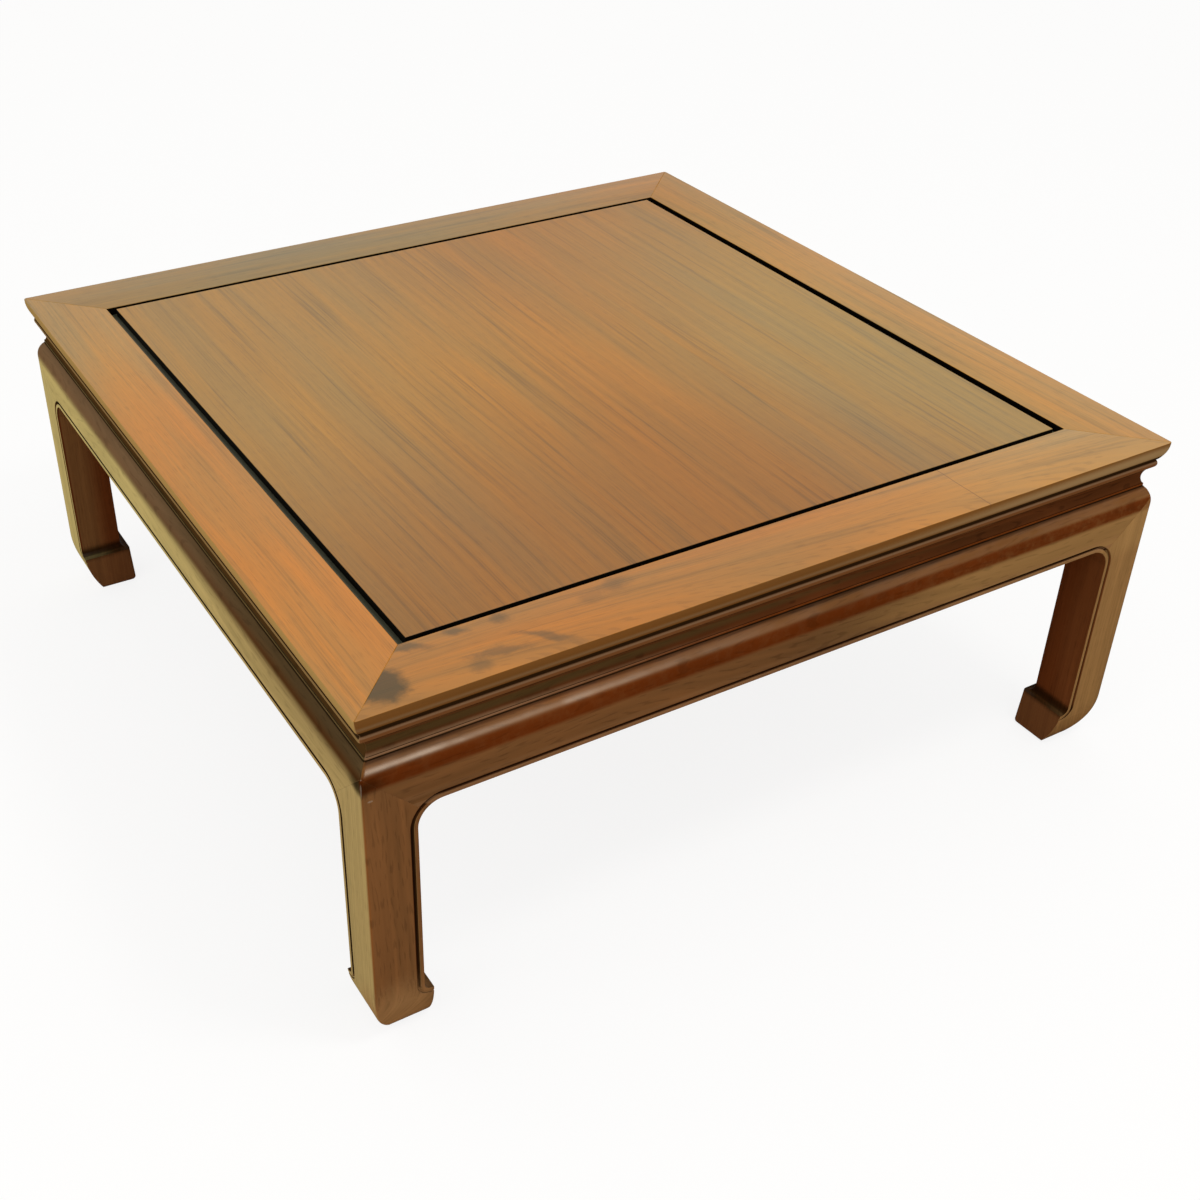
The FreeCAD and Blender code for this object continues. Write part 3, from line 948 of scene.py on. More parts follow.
@dataclass
class MitredRun:
    """Moulding of one side, swept by geometry nodes between two mitres with softened corners."""

    corner_round: float = 3.0 * MM
    round_fades_at: float = 30.0 * MM
    seam: float = 0.10 * MM
    corner_spans: int = 4
    tree: bpy.types.NodeTree | None = field(default=None, init=False)

    SIZES = ("Length", "Offset", "Corner Round", "Round Fades At", "Seam")
    STORED = {"place": "FLOAT_VECTOR", "station": "FLOAT"}

    def build_tree(self) -> bpy.types.NodeTree:
        """Builds the tree once.

        Returns:
            A tree that takes a profile of (inset, level) points and gives a mitred moulding.
        """
        if self.tree:
            return self.tree
        self.tree = bpy.data.node_groups.new("mitred_run", "GeometryNodeTree")
        kinds = {"Profile": "Geometry", **dict.fromkeys(self.SIZES, "Float"), "Wood": "Material"}
        sockets = self.tree.interface
        for name, kind in kinds.items():
            sockets.new_socket(name=name, in_out="INPUT", socket_type="NodeSocket" + kind)
        sockets.new_socket(name="Moulding", in_out="OUTPUT", socket_type="NodeSocketGeometry")
        web = Web(self.tree)
        outputs = self.tree.nodes.new("NodeGroupInput").outputs
        given = {name: Value(web, outputs[name]) for name in kinds}
        outline = web.node("GeometryNodeMeshToCurve", {}, {"Mesh": given["Profile"]})
        outline = self._keep(outline, "place", web.node("GeometryNodeInputPosition"))
        stations = 2 * (self.corner_spans + 1)
        path = web.node("GeometryNodeMeshLine", {}, {"Count": stations, "Offset": (1.0, 0.0, 0.0)})
        path = web.node("GeometryNodeMeshToCurve", {}, {"Mesh": path})
        path = self._keep(path, "station", web.node("GeometryNodeInputIndex"))
        sweep = {"Curve": path, "Profile Curve": outline, "Fill Caps": True}
        swept = web.node("GeometryNodeCurveToMesh", {}, sweep)
        placed = self._place(web, *(given[name] for name in self.SIZES))
        swept = web.node("GeometryNodeSetPosition", {}, {"Geometry": swept, "Position": placed})
        swept = web.node("GeometryNodeRealizeInstances", {}, {"Geometry": swept})
        swept = web.node("GeometryNodeSetMaterial", {}, {"Geometry": swept, "Material": given["Wood"]})
        web.node("NodeGroupOutput", {}, {0: swept})
        return self.tree

    def _keep(self, geometry: Value, name: str, value: Value) -> Value:
        """Stores a value on the points of a curve."""
        settings = {"data_type": self.STORED[name], "domain": "POINT"}
        inputs = {"Geometry": geometry, "Name": name, "Value": value}
        return geometry.web.node("GeometryNodeStoreNamedAttribute", settings, inputs)

    def _recall(self, web: Web, name: str) -> Value:
        """Reads a stored value."""
        settings = {"data_type": self.STORED[name]}
        return web.node("GeometryNodeInputNamedAttribute", settings, {"Name": name}, "Attribute")

    def _place(
        self, web: Web, length: Value, offset: Value, corner: Value, fades: Value, seam: Value
    ) -> Value:
        """Place of a swept point, from its profile point and its station along the run.

        Args:
            web: the tree.
            length: outer length of the side.
            offset: distance of its outer edge from the middle.
            corner: rounding of its outer corners.
            fades: inset at which that rounding ends.
            seam: half the gap of a mitre.

        Returns:
            The place, before the run is turned to its side.
        """
        inset, level, _ = web.split(self._recall(web, "place"))
        station = self._recall(web, "station") - (self.corner_spans + 0.5)
        end = web.math("SIGN", station)
        angle = (abs(station) - 0.5) * (QUARTER_TURN / 2 / self.corner_spans)
        sine = web.math("SINE", angle)
        cosine = web.math("COSINE", angle)
        near = web.math("SUBTRACT", 1.0, inset / fades, clamp=True)
        inset_here = inset + corner * near * (1.0 - cosine)
        along = inset_here + corner * (cosine - sine) + seam
        return web.vector(end * (length * 0.5 - along), inset_here - offset, level)

    def add(self, wood: Rosewood, outline: list[Point], side: Side, length: float, slot: str) -> None:
        """Adds the moulding of one side as a plain mesh.

        Args:
            wood: finish of the piece, which stands for the CAD node of the same name.
            outline: closed profile of (inset, level) points.
            side: side of the table.
            length: outer length of the side.
            slot: not used.
        """
        name = wood.piece + "_moulded"
        profile = bpy.data.meshes.new(name + "_profile")
        edges = [(index, (index + 1) % len(outline)) for index in range(len(outline))]
        profile.from_pydata([(inset, level, 0.0) for inset, level in outline], edges, [])
        carrier = put(name + "_profile", profile)
        modifier = carrier.modifiers.new("run", "NODES")
        modifier.node_group = self.build_tree()
        sizes = (length, length / 2, self.corner_round, self.round_fades_at, self.seam)
        values = {**dict(zip(self.SIZES, sizes)), "Wood": wood.material()}
        for item in modifier.node_group.interface.items_tree:
            if item.name in values:
                modifier[item.identifier] = values[item.name]
        graph = bpy.context.evaluated_depsgraph_get()
        made = bpy.data.meshes.new_from_object(carrier.evaluated_get(graph))
        made.name = name
        carrier.modifiers.remove(modifier)
        bpy.data.objects.remove(carrier)
        bpy.data.meshes.remove(profile)
        for attribute in self.STORED:
            if attribute in made.attributes:
                made.attributes.remove(made.attributes[attribute])
        made.transform(Matrix.Rotation(QUARTER_TURN * side.value, 4, "Z"))
        finish_mesh(made)
        add_piece("moulded_" + wood.piece, made, wood.piece)


@dataclass
class EasedSolid:
    """Copy of a CAD solid whose sharp edges are rounded as sandpaper leaves them."""

    radius: float = 0.7 * MM
    spans: int = 2
    sharp: float = math.radians(24)
    flat: float = math.radians(0.6)
    merge: float = 0.002 * MM

    def add(self, wood: Rosewood, slot: str) -> bpy.types.Object:
        """Adds the eased copy, as a closed mesh in the table's frame.

        Args:
            wood: finish of the piece, which stands for the CAD node of the same name.
            slot: not used.

        Returns:
            The new piece.
        """
        node = wood.piece
        work = bmesh.new()
        work.from_mesh(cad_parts[node].data)
        bmesh.ops.remove_doubles(work, verts=work.verts, dist=self.merge)
        bmesh.ops.dissolve_limit(
            work, angle_limit=self.flat, verts=work.verts, edges=work.edges, delimit={"NORMAL"}
        )
        bmesh.ops.bevel(
            work,
            geom=[edge for edge in work.edges if edge.calc_face_angle(0.0) > self.sharp],
            offset=self.radius,
            offset_type="OFFSET",
            segments=self.spans,
            profile=0.5,
            affect="EDGES",
            clamp_overlap=True,
        )
        made = bpy.data.meshes.new(node + "_eased")
        work.to_mesh(made)
        work.free()
        made.materials.clear()
        made.materials.append(wood.material())
        finish_mesh(made)
        return add_piece("eased_" + node, made, node)


FRAME_STOCK = Stock(
    Palette(
        dull=(0.360, 0.190, 0.055),
        warm=(0.480, 0.190, 0.032),
        vein=(0.15, 0.075, 0.022),
        worn=(0.56, 0.36, 0.17),
        grime_and_shade=(0.020, 0.012, 0.006),
    ),
    Lacquer(roughness=0.40, polish=0.70, polish_roughness=0.38, polish_start=0.70, polish_full=0.95),
    Figure(sway=0.012, streak=0.44, veins=0.18, patch=0.50),
)
PANEL_STOCK = Stock(
    Palette(
        dull=(0.328, 0.153, 0.027),
        warm=(0.402, 0.158, 0.019),
        vein=(0.140, 0.070, 0.022),
        worn=(0.50, 0.30, 0.14),
        grime_and_shade=(0.020, 0.012, 0.006),
    ),
    Lacquer(roughness=0.40, specular=0.03, polish=0.42, polish_roughness=0.34),
    Figure(sway=0.010, streak=0.50, veins=0.28, patch=0.45),
)
BASE_FIGURE = Figure(sway=0.020, streak=0.30, veins=0.12, patch=0.50, through=0.70)
BASE_STOCK = Stock(
    Palette(
        dull=(0.125, 0.060, 0.023),
        warm=(0.200, 0.072, 0.020),
        vein=(0.035, 0.012, 0.005),
        worn=(0.42, 0.26, 0.12),
        grime_and_shade=(0.010, 0.005, 0.003),
    ),
    Lacquer(
        roughness=0.34,
        polish=0.26,
        polish_roughness=0.34,
        polish_start=0.36,
        polish_full=0.50,
        patchy=0.55,
        dull=Side.LEFT.outward,
    ),
    BASE_FIGURE,
)
WAIST_STOCK = Stock(
    Palette(
        dull=(0.078, 0.028, 0.009),
        warm=(0.114, 0.034, 0.010),
        vein=(0.020, 0.006, 0.003),
        worn=(0.30, 0.16, 0.07),
        grime_and_shade=(0.008, 0.004, 0.002),
    ),
    Lacquer(roughness=0.42),
    BASE_FIGURE,
)
PLAIN_STOCK = Stock(
    Palette(
        dull=(0.17, 0.095, 0.045),
        warm=(0.25, 0.140, 0.065),
        vein=(0.09, 0.045, 0.020),
        worn=(0.35, 0.23, 0.13),
        grime_and_shade=(0.05, 0.03, 0.02),
    ),
    Lacquer(roughness=0.60, specular=0.20),
)


@dataclass
class TopFrame:
    """Four mitred rails with a moulded edge."""

    width: float = 914.0 * MM
    height: float = 381.0 * MM
    rail_width: float = 75.5 * MM
    rail_thick: float = 35.0 * MM
    edge_round: float = 1.6 * MM
    fascia_height: float = 20.0 * MM
    fascia_lean: float = 6.0 * MM
    fascia_swell: float = 1.5 * MM
    fascia_spans: int = 6
    fascia_upright: float = 12.5 * MM
    quirk_height: float = 1.6 * MM
    quirk_step: float = 1.4 * MM
    torus_height: float = 9.5 * MM
    torus_lean: float = 3.2 * MM
    torus_proud: float = 3.2 * MM
    torus_spans: int = 10
    foot_inset: float = 13.0 * MM
    groove_top: float = 8.8 * MM
    groove_foot: float = 18.2 * MM
    groove_deep: float = 8.6 * MM
    easing: float = 0.5 * MM
    gap_drop: float = 0.2 * MM
    gap_inset: float = 60.0 * MM
    stain: Colour = (0.148, 0.063, 0.018)
    # Painted light of the left fascia.
    lit_left_fascia: Colour = (0.380, 0.255, 0.095)
    pale_stripe: Colour = (0.230, 0.140, 0.072)
    pale_right: Colour = (0.360, 0.240, 0.120)
    # Painted highlight atop the torus.
    torus_top: Colour = (0.240, 0.140, 0.078)
    torus_red: Colour = (0.155, 0.060, 0.022)
    # Painted light of the left torus.
    lit_left_torus: Colour = (0.230, 0.145, 0.060)
    # Painted shade in the quirk, below the torus and on faces looking down.
    grime_and_shade: Colour = (0.020, 0.009, 0.003)
    seeds: Seeds = Seeds(1.3, 3.7)

    def outline(self) -> list[Point]:
        """Closed profile of a rail.

        Returns:
            Its (inset, level) points.
        """
        top = self.height
        fascia_foot = (self.fascia_lean, top - self.fascia_height)
        quirk = self.fascia_lean + self.quirk_step
        torus_top = fascia_foot[1] - self.quirk_height
        torus_foot = (quirk + self.torus_lean, torus_top - self.torus_height)
        inner = self.rail_width
        fascia = arc_points((0.0, top - self.edge_round), fascia_foot, self.fascia_swell, self.fascia_spans)
        torus = arc_points((quirk, torus_top), torus_foot, self.torus_proud, self.torus_spans)
        points = [(0.0, top)] + fascia[1:] + [(quirk, fascia_foot[1])] + torus
        points += [
            (self.foot_inset, top - self.rail_thick),
            (inner, top - self.rail_thick),
            (inner, top - self.groove_foot),
            (inner - self.groove_deep, top - self.groove_foot),
            (inner - self.groove_deep, top - self.groove_top),
            (inner, top - self.groove_top),
            (inner, top),
        ]
        return eased(points, self.easing)

    def _hearts(self) -> dict[Side, Heart]:
        """Where each rail was sawn from its log."""
        return {
            Side.FRONT: Heart(-0.46, 0.33, 0.05),
            Side.RIGHT: Heart(0.30, 0.20),
            Side.BACK: Heart(0.30, 0.20),
            Side.LEFT: Heart(-0.62, 0.25, 0.01),
        }

    def _tones(self, side: Side) -> tuple[Mark, ...]:
        """Broad stretches of a rail that are warmer, darker or paler than the rest.

        Args:
            side: side of the rail.

        Returns:
            The rail's tones.
        """
        level = self.height
        middle = (self.width - self.rail_width) / 2
        tones = {
            Side.FRONT: (
                tone((-0.15, -middle, level), (0.40, 0.08), (0.94, 0.86, 0.72)),
                tone((0.42, -middle, level), (0.30, 0.08), (1.03, 1.27, 1.70)),
            ),
            Side.LEFT: (
                tone((-middle, -0.05, level), (0.08, 0.40), (1.11, 1.01, 0.76)),
                tone((-middle, 0.40, level), (0.08, 0.26), (0.95, 1.20, 1.60)),
            ),
            Side.RIGHT: (
                tone((middle, -0.10, level), (0.08, 0.40), (1.04, 1.19, 1.25)),
                tone((middle, 0.42, level), (0.08, 0.25), (0.90, 0.95, 0.76)),
            ),
            Side.BACK: (tone((-0.20, middle, level), (0.50, 0.08), (0.72, 0.99, 1.45)),),
        }
        return tones[side]

    def _front_marks(self) -> tuple[Mark, ...]:
        """Dark knots and a hairline that age has left on the front rail."""
        patch = (
            (-0.4062, -0.4056),
            (-0.3976, -0.4167),
            (-0.3999, -0.4408),
            (-0.4187, -0.4490),
            (-0.4369, -0.4387),
        )
        return (
            Patch(patch),
            Blotch((-0.375, -0.390), (0.015, 0.005), -0.35),
            Blotch((-0.331, -0.389), (0.011, 0.005), -0.4),
            Blotch((-0.290, -0.391), (0.009, 0.007), strength=0.6),
            Blotch((-0.313, -0.431), (0.026, 0.005), -0.2, strength=0.55),
            Blotch((-0.336, -0.440), (0.010, 0.008), strength=0.5),
            Blotch((-0.268, -0.431), (0.024, 0.005), -0.7, strength=0.6),
            Blotch((-0.205, -0.400), (0.011, 0.007), strength=0.3),
            Blotch((-0.177, -0.395), (0.016, 0.008), 0.2, strength=0.45),
            Score(0.207),
        )

    def _edge_marks(self, side: Side) -> tuple[Mark, ...]:
        """Stains of the moulded edge, with painted shade in its quirk.

        Args:
            side: side of the rail.

        Returns:
            The marks, painted light on the left, darker with a painted torus highlight elsewhere.
        """
        way = side.outward
        turn = self.height - self.fascia_upright
        top = self.height - self.fascia_height - self.quirk_height
        foot = top - self.torus_height
        if side is Side.LEFT:
            return (
                # Painted light on the left fascia and torus, and painted shade in the quirk.
                Facing(way, self.lit_left_fascia, 0.9, start=0.25, full=0.6),
                Band(foot, top, self.lit_left_torus, 0.9, 0.5 * MM, way),
                Band(top - 2.6 * MM, turn - 3.0 * MM, self.grime_and_shade, 0.95, 0.5 * MM, way),
            )
        return (
            Facing(way, self.stain, 0.9, start=0.25, full=0.6),
            Band(turn, turn + 3.5 * MM, self.pale_stripe, 0.7, 2.2 * MM, way),
            *(self._pale_end() if side is Side.FRONT else ()),
            Band(foot, top, self.torus_red, 0.9, 0.5 * MM, way),
            # Painted highlight atop the torus.
            Band(top - 3.0 * MM, top - 1.0 * MM, self.torus_top, 0.8, 0.6 * MM, way),
            # Painted shade in the quirk.
            Band(top - 1.0 * MM, turn - 2.8 * MM, self.grime_and_shade, 0.95, 0.8 * MM, way),
        )

    def _pale_end(self) -> tuple[Mark, ...]:
        """Paler right end of the front fascia."""
        end = self.width / 2
        level = self.height - self.fascia_upright + 2.5 * MM
        half = (0.30, 0.02, 6.0 * MM)
        return (Scuff((end, -end, level), half, self.pale_right, 0.8, ragged=0.2, soft=0.7),)

    def _marks(self, side: Side) -> tuple[Mark, ...]:
        """Tones and stains of a rail, painted shade under it and in its groove, and the front's own marks.

        Args:
            side: side of the rail.

        Returns:
            The marks, in the order in which they are laid.
        """
        top = self.height
        foot = top - self.rail_thick
        torus_foot = top - self.fascia_height - self.quirk_height - self.torus_height
        return (
            *self._tones(side),
            *(self._front_marks() if side is Side.FRONT else ()),
            *self._edge_marks(side),
            # Painted shade on faces looking down, below the torus, and in the gap round the panel.
            Facing(DOWN, self.grime_and_shade, 0.9, start=0.6, full=0.9),
            Band(foot, torus_foot + 1.5 * MM, self.grime_and_shade, 0.9, 0.7 * MM, side.outward),
            Recess(top - self.gap_drop, top - self.groove_foot, self.width / 2 - self.gap_inset),
        )

    def build(self, run: MitredRun) -> None:
        """Makes and dresses the rails.

        Args:
            run: maker of mouldings.
        """
        for side, heart in self._hearts().items():
            piece = "top_rail_" + side.word
            seed = self.seeds.of(side.value)
            wood = Rosewood(piece, side.grain, heart, FRAME_STOCK, seed, self._marks(side))
            run.add(wood, self.outline(), side, self.width, "frame_wood")


@dataclass
class Panel:
    """Floating panel of three boards, with the battens under it."""

    face: float = 381.0 * MM
    rebate_foot: float = 366.5 * MM
    reach: float = 457.0 * MM
    gap_drop: float = 0.2 * MM
    # Painted reflection: darker at the front of the panel.
    near_tint: Colour = (0.78, 0.76, 1.00)
    middle_tint: Colour = (1.09, 1.03, 0.80)
    # Painted reflection: paler over the far left of the panel.
    far_left_sheen: Colour = (1.02, 1.30, 2.20)
    right_tint: Colour = (0.97, 1.40, 2.70)
    board_seeds: Seeds = Seeds(0.7, 2.9)
    brace_seeds: Seeds = Seeds(8.0, 1.7)
    brace_heart: Heart = Heart(0.4, 0.2)

    def _hearts(self) -> dict[str, Heart]:
        """Where each board was sawn from its log."""
        return {
            "left": Heart(-0.75, 0.30, 0.0),
            "middle": Heart(0.55, 0.15, 0.06),
            "right": Heart(0.62, 0.25, 0.01),
        }

    def build(self) -> None:
        """Dresses the boards and battens."""
        marks = (
            # The first and third tints are a painted reflection, darker at the front and paler at the far
            # left.
            tone((-0.13, -0.45, self.face), (0.38, 0.34), self.near_tint),
            tone((-0.03, -0.08, self.face), (0.18, 0.28), self.middle_tint),
            tone((-0.35, 0.25, self.face), (0.35, 0.50), self.far_left_sheen),
            tone((0.42, -0.15, self.face), (0.28, 0.45), self.right_tint),
            # Painted shade in the gap round the panel.
            Recess(self.face - self.gap_drop, self.rebate_foot, self.reach),
        )
        for index, (board, heart) in enumerate(self._hearts().items()):
            piece = "panel_board_" + board
            dress(piece, Rosewood(piece, Grain.Y, heart, PANEL_STOCK, self.board_seeds.of(index), marks))
        for index, row in enumerate(("front", "middle", "back")):
            piece = "panel_brace_" + row
            seed = self.brace_seeds.of(index)
            dress(piece, Rosewood(piece, Grain.X, self.brace_heart, PLAIN_STOCK, seed))


@dataclass
class Waist:
    """Hollow strips under the frame, with the pegs inside them."""

    width: float = 914.0 * MM
    top: float = 346.0 * MM
    foot: float = 328.0 * MM
    top_inset: float = 13.0 * MM
    foot_inset: float = 12.0 * MM
    lip: float = 2.8 * MM
    lip_step: float = 0.8 * MM
    hollow: float = 2.2 * MM
    hollow_spans: int = 10
    back: float = 24.0 * MM
    easing: float = 0.4 * MM
    olive: Colour = (0.088, 0.052, 0.018)
    red_lip: Colour = (0.130, 0.033, 0.006)
    # Painted shade of the left hollow.
    left_shade: Colour = (0.072, 0.038, 0.011)
    # Painted light of the left lip.
    lit_left_lip: Colour = (0.115, 0.080, 0.032)
    # Painted highlight on the front lip near its left end.
    pale_stripe: Colour = (0.28, 0.165, 0.090)
    # Painted shade in the seam over the apron.
    grime_and_shade: Colour = (0.008, 0.004, 0.001)
    heart: Heart = Heart(0.2, 0.1)
    seeds: Seeds = Seeds(0.4, 5.1)
    peg_seed: float = 4.4

    def outline(self) -> list[Point]:
        """Closed profile of a strip.

        Returns:
            Its (inset, level) points.
        """
        lip_top = self.foot + self.lip
        start = (self.top_inset, self.top)
        end = (self.foot_inset + self.lip_step, lip_top)
        points = arc_points(start, end, -self.hollow, self.hollow_spans) + [
            (self.foot_inset, lip_top),
            (self.foot_inset, self.foot),
            (self.back, self.foot),
            (self.back, self.top),
        ]
        return eased(points, self.easing)

    def _marks(self, side: Side) -> tuple[Mark, ...]:
        """Lip of a strip with painted shade in its seam, and the front's olive hollow and painted lip
        highlight.

        Args:
            side: side of the strip.

        Returns:
            The marks, in painted shade and light on the left and red elsewhere.
        """
        near = -self.width / 2
        lip_top = self.foot + self.lip
        lip_end = lip_top + 0.4 * MM
        # Painted shade in the seam over the apron.
        painted_shade = Band(self.foot - 1.0 * MM, self.foot + 0.35 * self.lip, self.grime_and_shade, 0.95, 0.4 * MM)
        if side is Side.LEFT:
            # On the left, the hollow in painted shade and the lip in painted light.
            left_hollow_shade = Facing(side.outward, self.left_shade, 0.9, start=0.1, full=0.4)
            return (left_hollow_shade, Band(self.foot, lip_end, self.lit_left_lip, 0.9, 0.4 * MM), painted_shade)
        red = Band(self.foot, lip_end, self.red_lip, 0.9, 0.4 * MM)
        if side is not Side.FRONT:
            return (red, painted_shade)
        deep = (near, near, self.top - 6.5 * MM)
        hollow = Scuff(deep, (0.60, 0.03, 5.0 * MM), self.olive, 0.9, ragged=0.1, soft=0.4)
        lip = (near, near, lip_top)
        # Painted highlight on the front lip near its left end.
        pale_stripe = Scuff(lip, (0.30, 0.02, self.lip), self.pale_stripe, 0.85, ragged=0.2, soft=0.6)
        return (red, hollow, pale_stripe, painted_shade)

    def build(self, run: MitredRun) -> None:
        """Makes and dresses the strips, and dresses the pegs.

        Args:
            run: maker of mouldings.
        """
        for side in Side:
            piece = "waist_" + side.word
            seed = self.seeds.of(side.value)
            wood = Rosewood(piece, side.grain, self.heart, WAIST_STOCK, seed, self._marks(side))
            run.add(wood, self.outline(), side, self.width, "base_wood")
        dress("waist_pegs", Rosewood("peg", Grain.Z, self.heart, PLAIN_STOCK, self.peg_seed))


@dataclass
class Base:
    """Aprons and legs, with their bead and hoof feet."""

    solid: EasedSolid = field(default_factory=EasedSolid)
    shoulder_top: float = 328.0 * MM
    shoulder_foot: float = 309.0 * MM
    face: float = 454.0 * MM
    groove_deep: float = 2.0 * MM
    groove_foot: float = 52.0 * MM
    groove_top: float = 300.0 * MM
    groove_reach: float = 425.0 * MM
    bead: float = 4.0 * MM
    apron_foot: float = 269.5 * MM
    toe_height: float = 47.0 * MM
    # Painted light: the left faces in the pale tan of light reflected from the left, paler at the back.
    lit_left_face: Colour = (0.42, 0.320, 0.140)
    far_lit_left_face: Colour = (0.54, 0.450, 0.190)
    # Painted shade of the left shoulder, lighter at the back.
    left_shade: Colour = (0.100, 0.066, 0.030)
    left_red_shade: Colour = (0.062, 0.021, 0.005)
    far_left_shade: Colour = (0.200, 0.120, 0.064)
    # The wood's own dark red, deepened by a painted reflection of dark surroundings.
    dark_red: Colour = (0.115, 0.023, 0.003)
    # Painted highlight on the crest of the shoulder.
    ridge_highlight: Colour = (0.175, 0.070, 0.018)
    # Painted reflection of the floor on the upright faces.
    olive: Colour = (0.172, 0.085, 0.035)
    pale_olive_reflection: Colour = (0.310, 0.177, 0.068)
    # Painted highlight on the bead.
    bead_highlight: Colour = (0.230, 0.120, 0.058)
    # Painted shade in the groove above the bead and in the seam under the waist.
    groove: Colour = (0.030, 0.009, 0.002)
    scratch: Colour = (0.320, 0.270, 0.210)
    # Painted shade: the inner faces a deep red.
    inner_red_shade: Colour = (0.112, 0.027, 0.007)
    toe: Colour = (0.140, 0.058, 0.022)
    rubbed_foot: Colour = (0.320, 0.175, 0.075)
    # Painted shade in seams, grooves, the cove above the toe and the toe's top; also the near corner's dark
    # spot.
    grime_and_shade: Colour = (0.008, 0.004, 0.001)
    apron_heart: Heart = Heart(0.25, 0.12)
    apron_seeds: Seeds = Seeds(2.2, 4.3)
    leg_hearts: tuple[Heart, ...] = tuple(Heart(0.1 * index - 0.2, 0.15) for index in range(4))
    leg_seeds: Seeds = Seeds(1.9, 6.1)

    def _outer_marks(self, side: Side) -> tuple[Mark, ...]:
        """Colours of the outer faces on one side, most of them painted light and shade.

        Args:
            side: side of the table.

        Returns:
            The marks, painted light and shade on the left, and a painted reflection and highlight elsewhere.
        """
        way = side.outward
        top = self.shoulder_top
        foot = self.shoulder_foot
        face = self.face
        low = self.groove_foot
        painted_shade = self.grime_and_shade if side is Side.LEFT else self.groove
        # Painted shade in the seam under the waist and in the groove, and on the front and left a dark spot
        # at the near corner.
        gap = (
            Band(top - 0.5 * MM, top + 1.0 * MM, self.grime_and_shade, 0.9, 0.4 * MM, dulls=True),
            Sunk(way, face, self.groove_deep, self.groove_reach, low, self.groove_top, painted_shade),
            *((self._smudge(),) if side in Corner.FRONT_LEFT.sides else ()),
        )
        if side is Side.LEFT:
            far = (-face, 0.35, top - 8.0 * MM)
            return (
                # Painted light on the left faces, paler at the back.
                Facing(way, self.lit_left_face, 0.9, start=0.55, full=0.95),
                Scuff((-face, 0.45, 0.20), (0.03, 0.55, 0.50), self.far_lit_left_face, 0.85, ragged=0.1, soft=0.5),
                # Painted shade on the left shoulder, lighter at the back.
                Band(foot - 3.0 * MM, top + 9.0 * MM, self.left_red_shade, 0.40, 7.0 * MM, way),
                Band(foot + 3.0 * MM, top + 9.0 * MM, self.left_red_shade, 0.95, 4.0 * MM, way),
                Band(foot + 11.0 * MM, top + 9.0 * MM, self.left_shade, 0.85, 5.0 * MM, way),
                Scuff(far, (0.03, 0.45, 13.0 * MM), self.far_left_shade, 0.75, ragged=0.1, soft=0.5),
                *gap,
            )
        end = (face, -face, 0.290)
        return (
            # Painted reflection of the floor on the upright faces, paler towards the right end.
            Facing(way, self.olive, 0.6, start=0.80, full=0.99),
            Scuff(end, (0.36, 0.03, 0.030), self.pale_olive_reflection, 0.9, ragged=0.1, soft=0.35),
            # The wood's own dark red under the crest, deepened by a painted reflection of dark surroundings.
            Band(foot - 6.0 * MM, foot + 9.5 * MM, self.dark_red, 0.95, 3.0 * MM, way, mottle=0.15),
            # Painted highlight along the crest of the shoulder.
            Band(foot + 10.5 * MM, foot + 16.0 * MM, self.ridge_highlight, 0.9, 1.8 * MM, way),
            # Painted shade in the seam under the waist.
            Band(top - 2.0 * MM, top + 1.0 * MM, self.groove, 0.6, 1.0 * MM, way, dulls=True),
            *gap,
        )

    def _smudge(self) -> Mark:
        """Dark spot round the near corner under the shoulder."""
        near = (-0.448, -0.448, 0.309)
        return Scuff(near, (0.014, 0.014, 0.007), self.grime_and_shade, 0.70, ragged=0.3, soft=0.8)

    def _bead_marks(self, side: Side) -> tuple[Mark, ...]:
        """Painted highlight on the bead along the foot of an apron, and fainter above its groove.

        Args:
            side: side of the apron.

        Returns:
            The marks, of which the left apron has none.
        """
        if side is Side.LEFT:
            return ()
        foot = self.apron_foot
        way = side.outward
        return (
            # Painted highlight, faint above the groove and stronger on the bead.
            Band(foot + 9.0 * MM, foot + 13.0 * MM, self.bead_highlight, 0.3, 2.5 * MM, way),
            Band(foot - 1.0 * MM, foot + self.bead, self.bead_highlight, 0.6, 0.4 * MM, way),
        )

    def _leg_marks(self, corner: Corner) -> tuple[Mark, ...]:
        """Inner faces of a leg in painted shade, also above and on its toe, over the marks of its outer
        ones.

        Args:
            corner: corner that the leg stands at.

        Returns:
            The marks, in the order in which they are laid.
        """
        x, y = corner.value
        toe = self.toe_height
        marks = [mark for side in corner.sides for mark in self._outer_marks(side)]
        if corner is Corner.FRONT_RIGHT:
            # Painted reflection, paler on the front of this leg.
            shin = (0.43, -self.face, 0.16)
            marks.append(Scuff(shin, (0.08, 0.03, 0.16), self.pale_olive_reflection, 0.7, ragged=0.2, soft=0.4))
        for way in ((-x, 0.0, 0.0), (0.0, -y, 0.0)):
            # Painted shade: the inner faces a deep red.
            marks.append(Facing(way, self.inner_red_shade, 0.88))
            marks.append(Band(-10.0 * MM, toe, self.toe, 0.8, 1.0 * MM, way))
            # Painted shade in the cove above the toe.
            marks.append(Band(toe - 1.0 * MM, toe + 10.0 * MM, self.grime_and_shade, 0.85, 5.0 * MM, way))
        # Painted shade on the top of the toe.
        marks.append(Band(toe - 7.0 * MM, toe + 2.0 * MM, self.grime_and_shade, 0.75, 2.0 * MM, UP, dulls=True))
        if corner is Corner.FRONT_LEFT:
            marks += self._scratches()
        return tuple(marks)

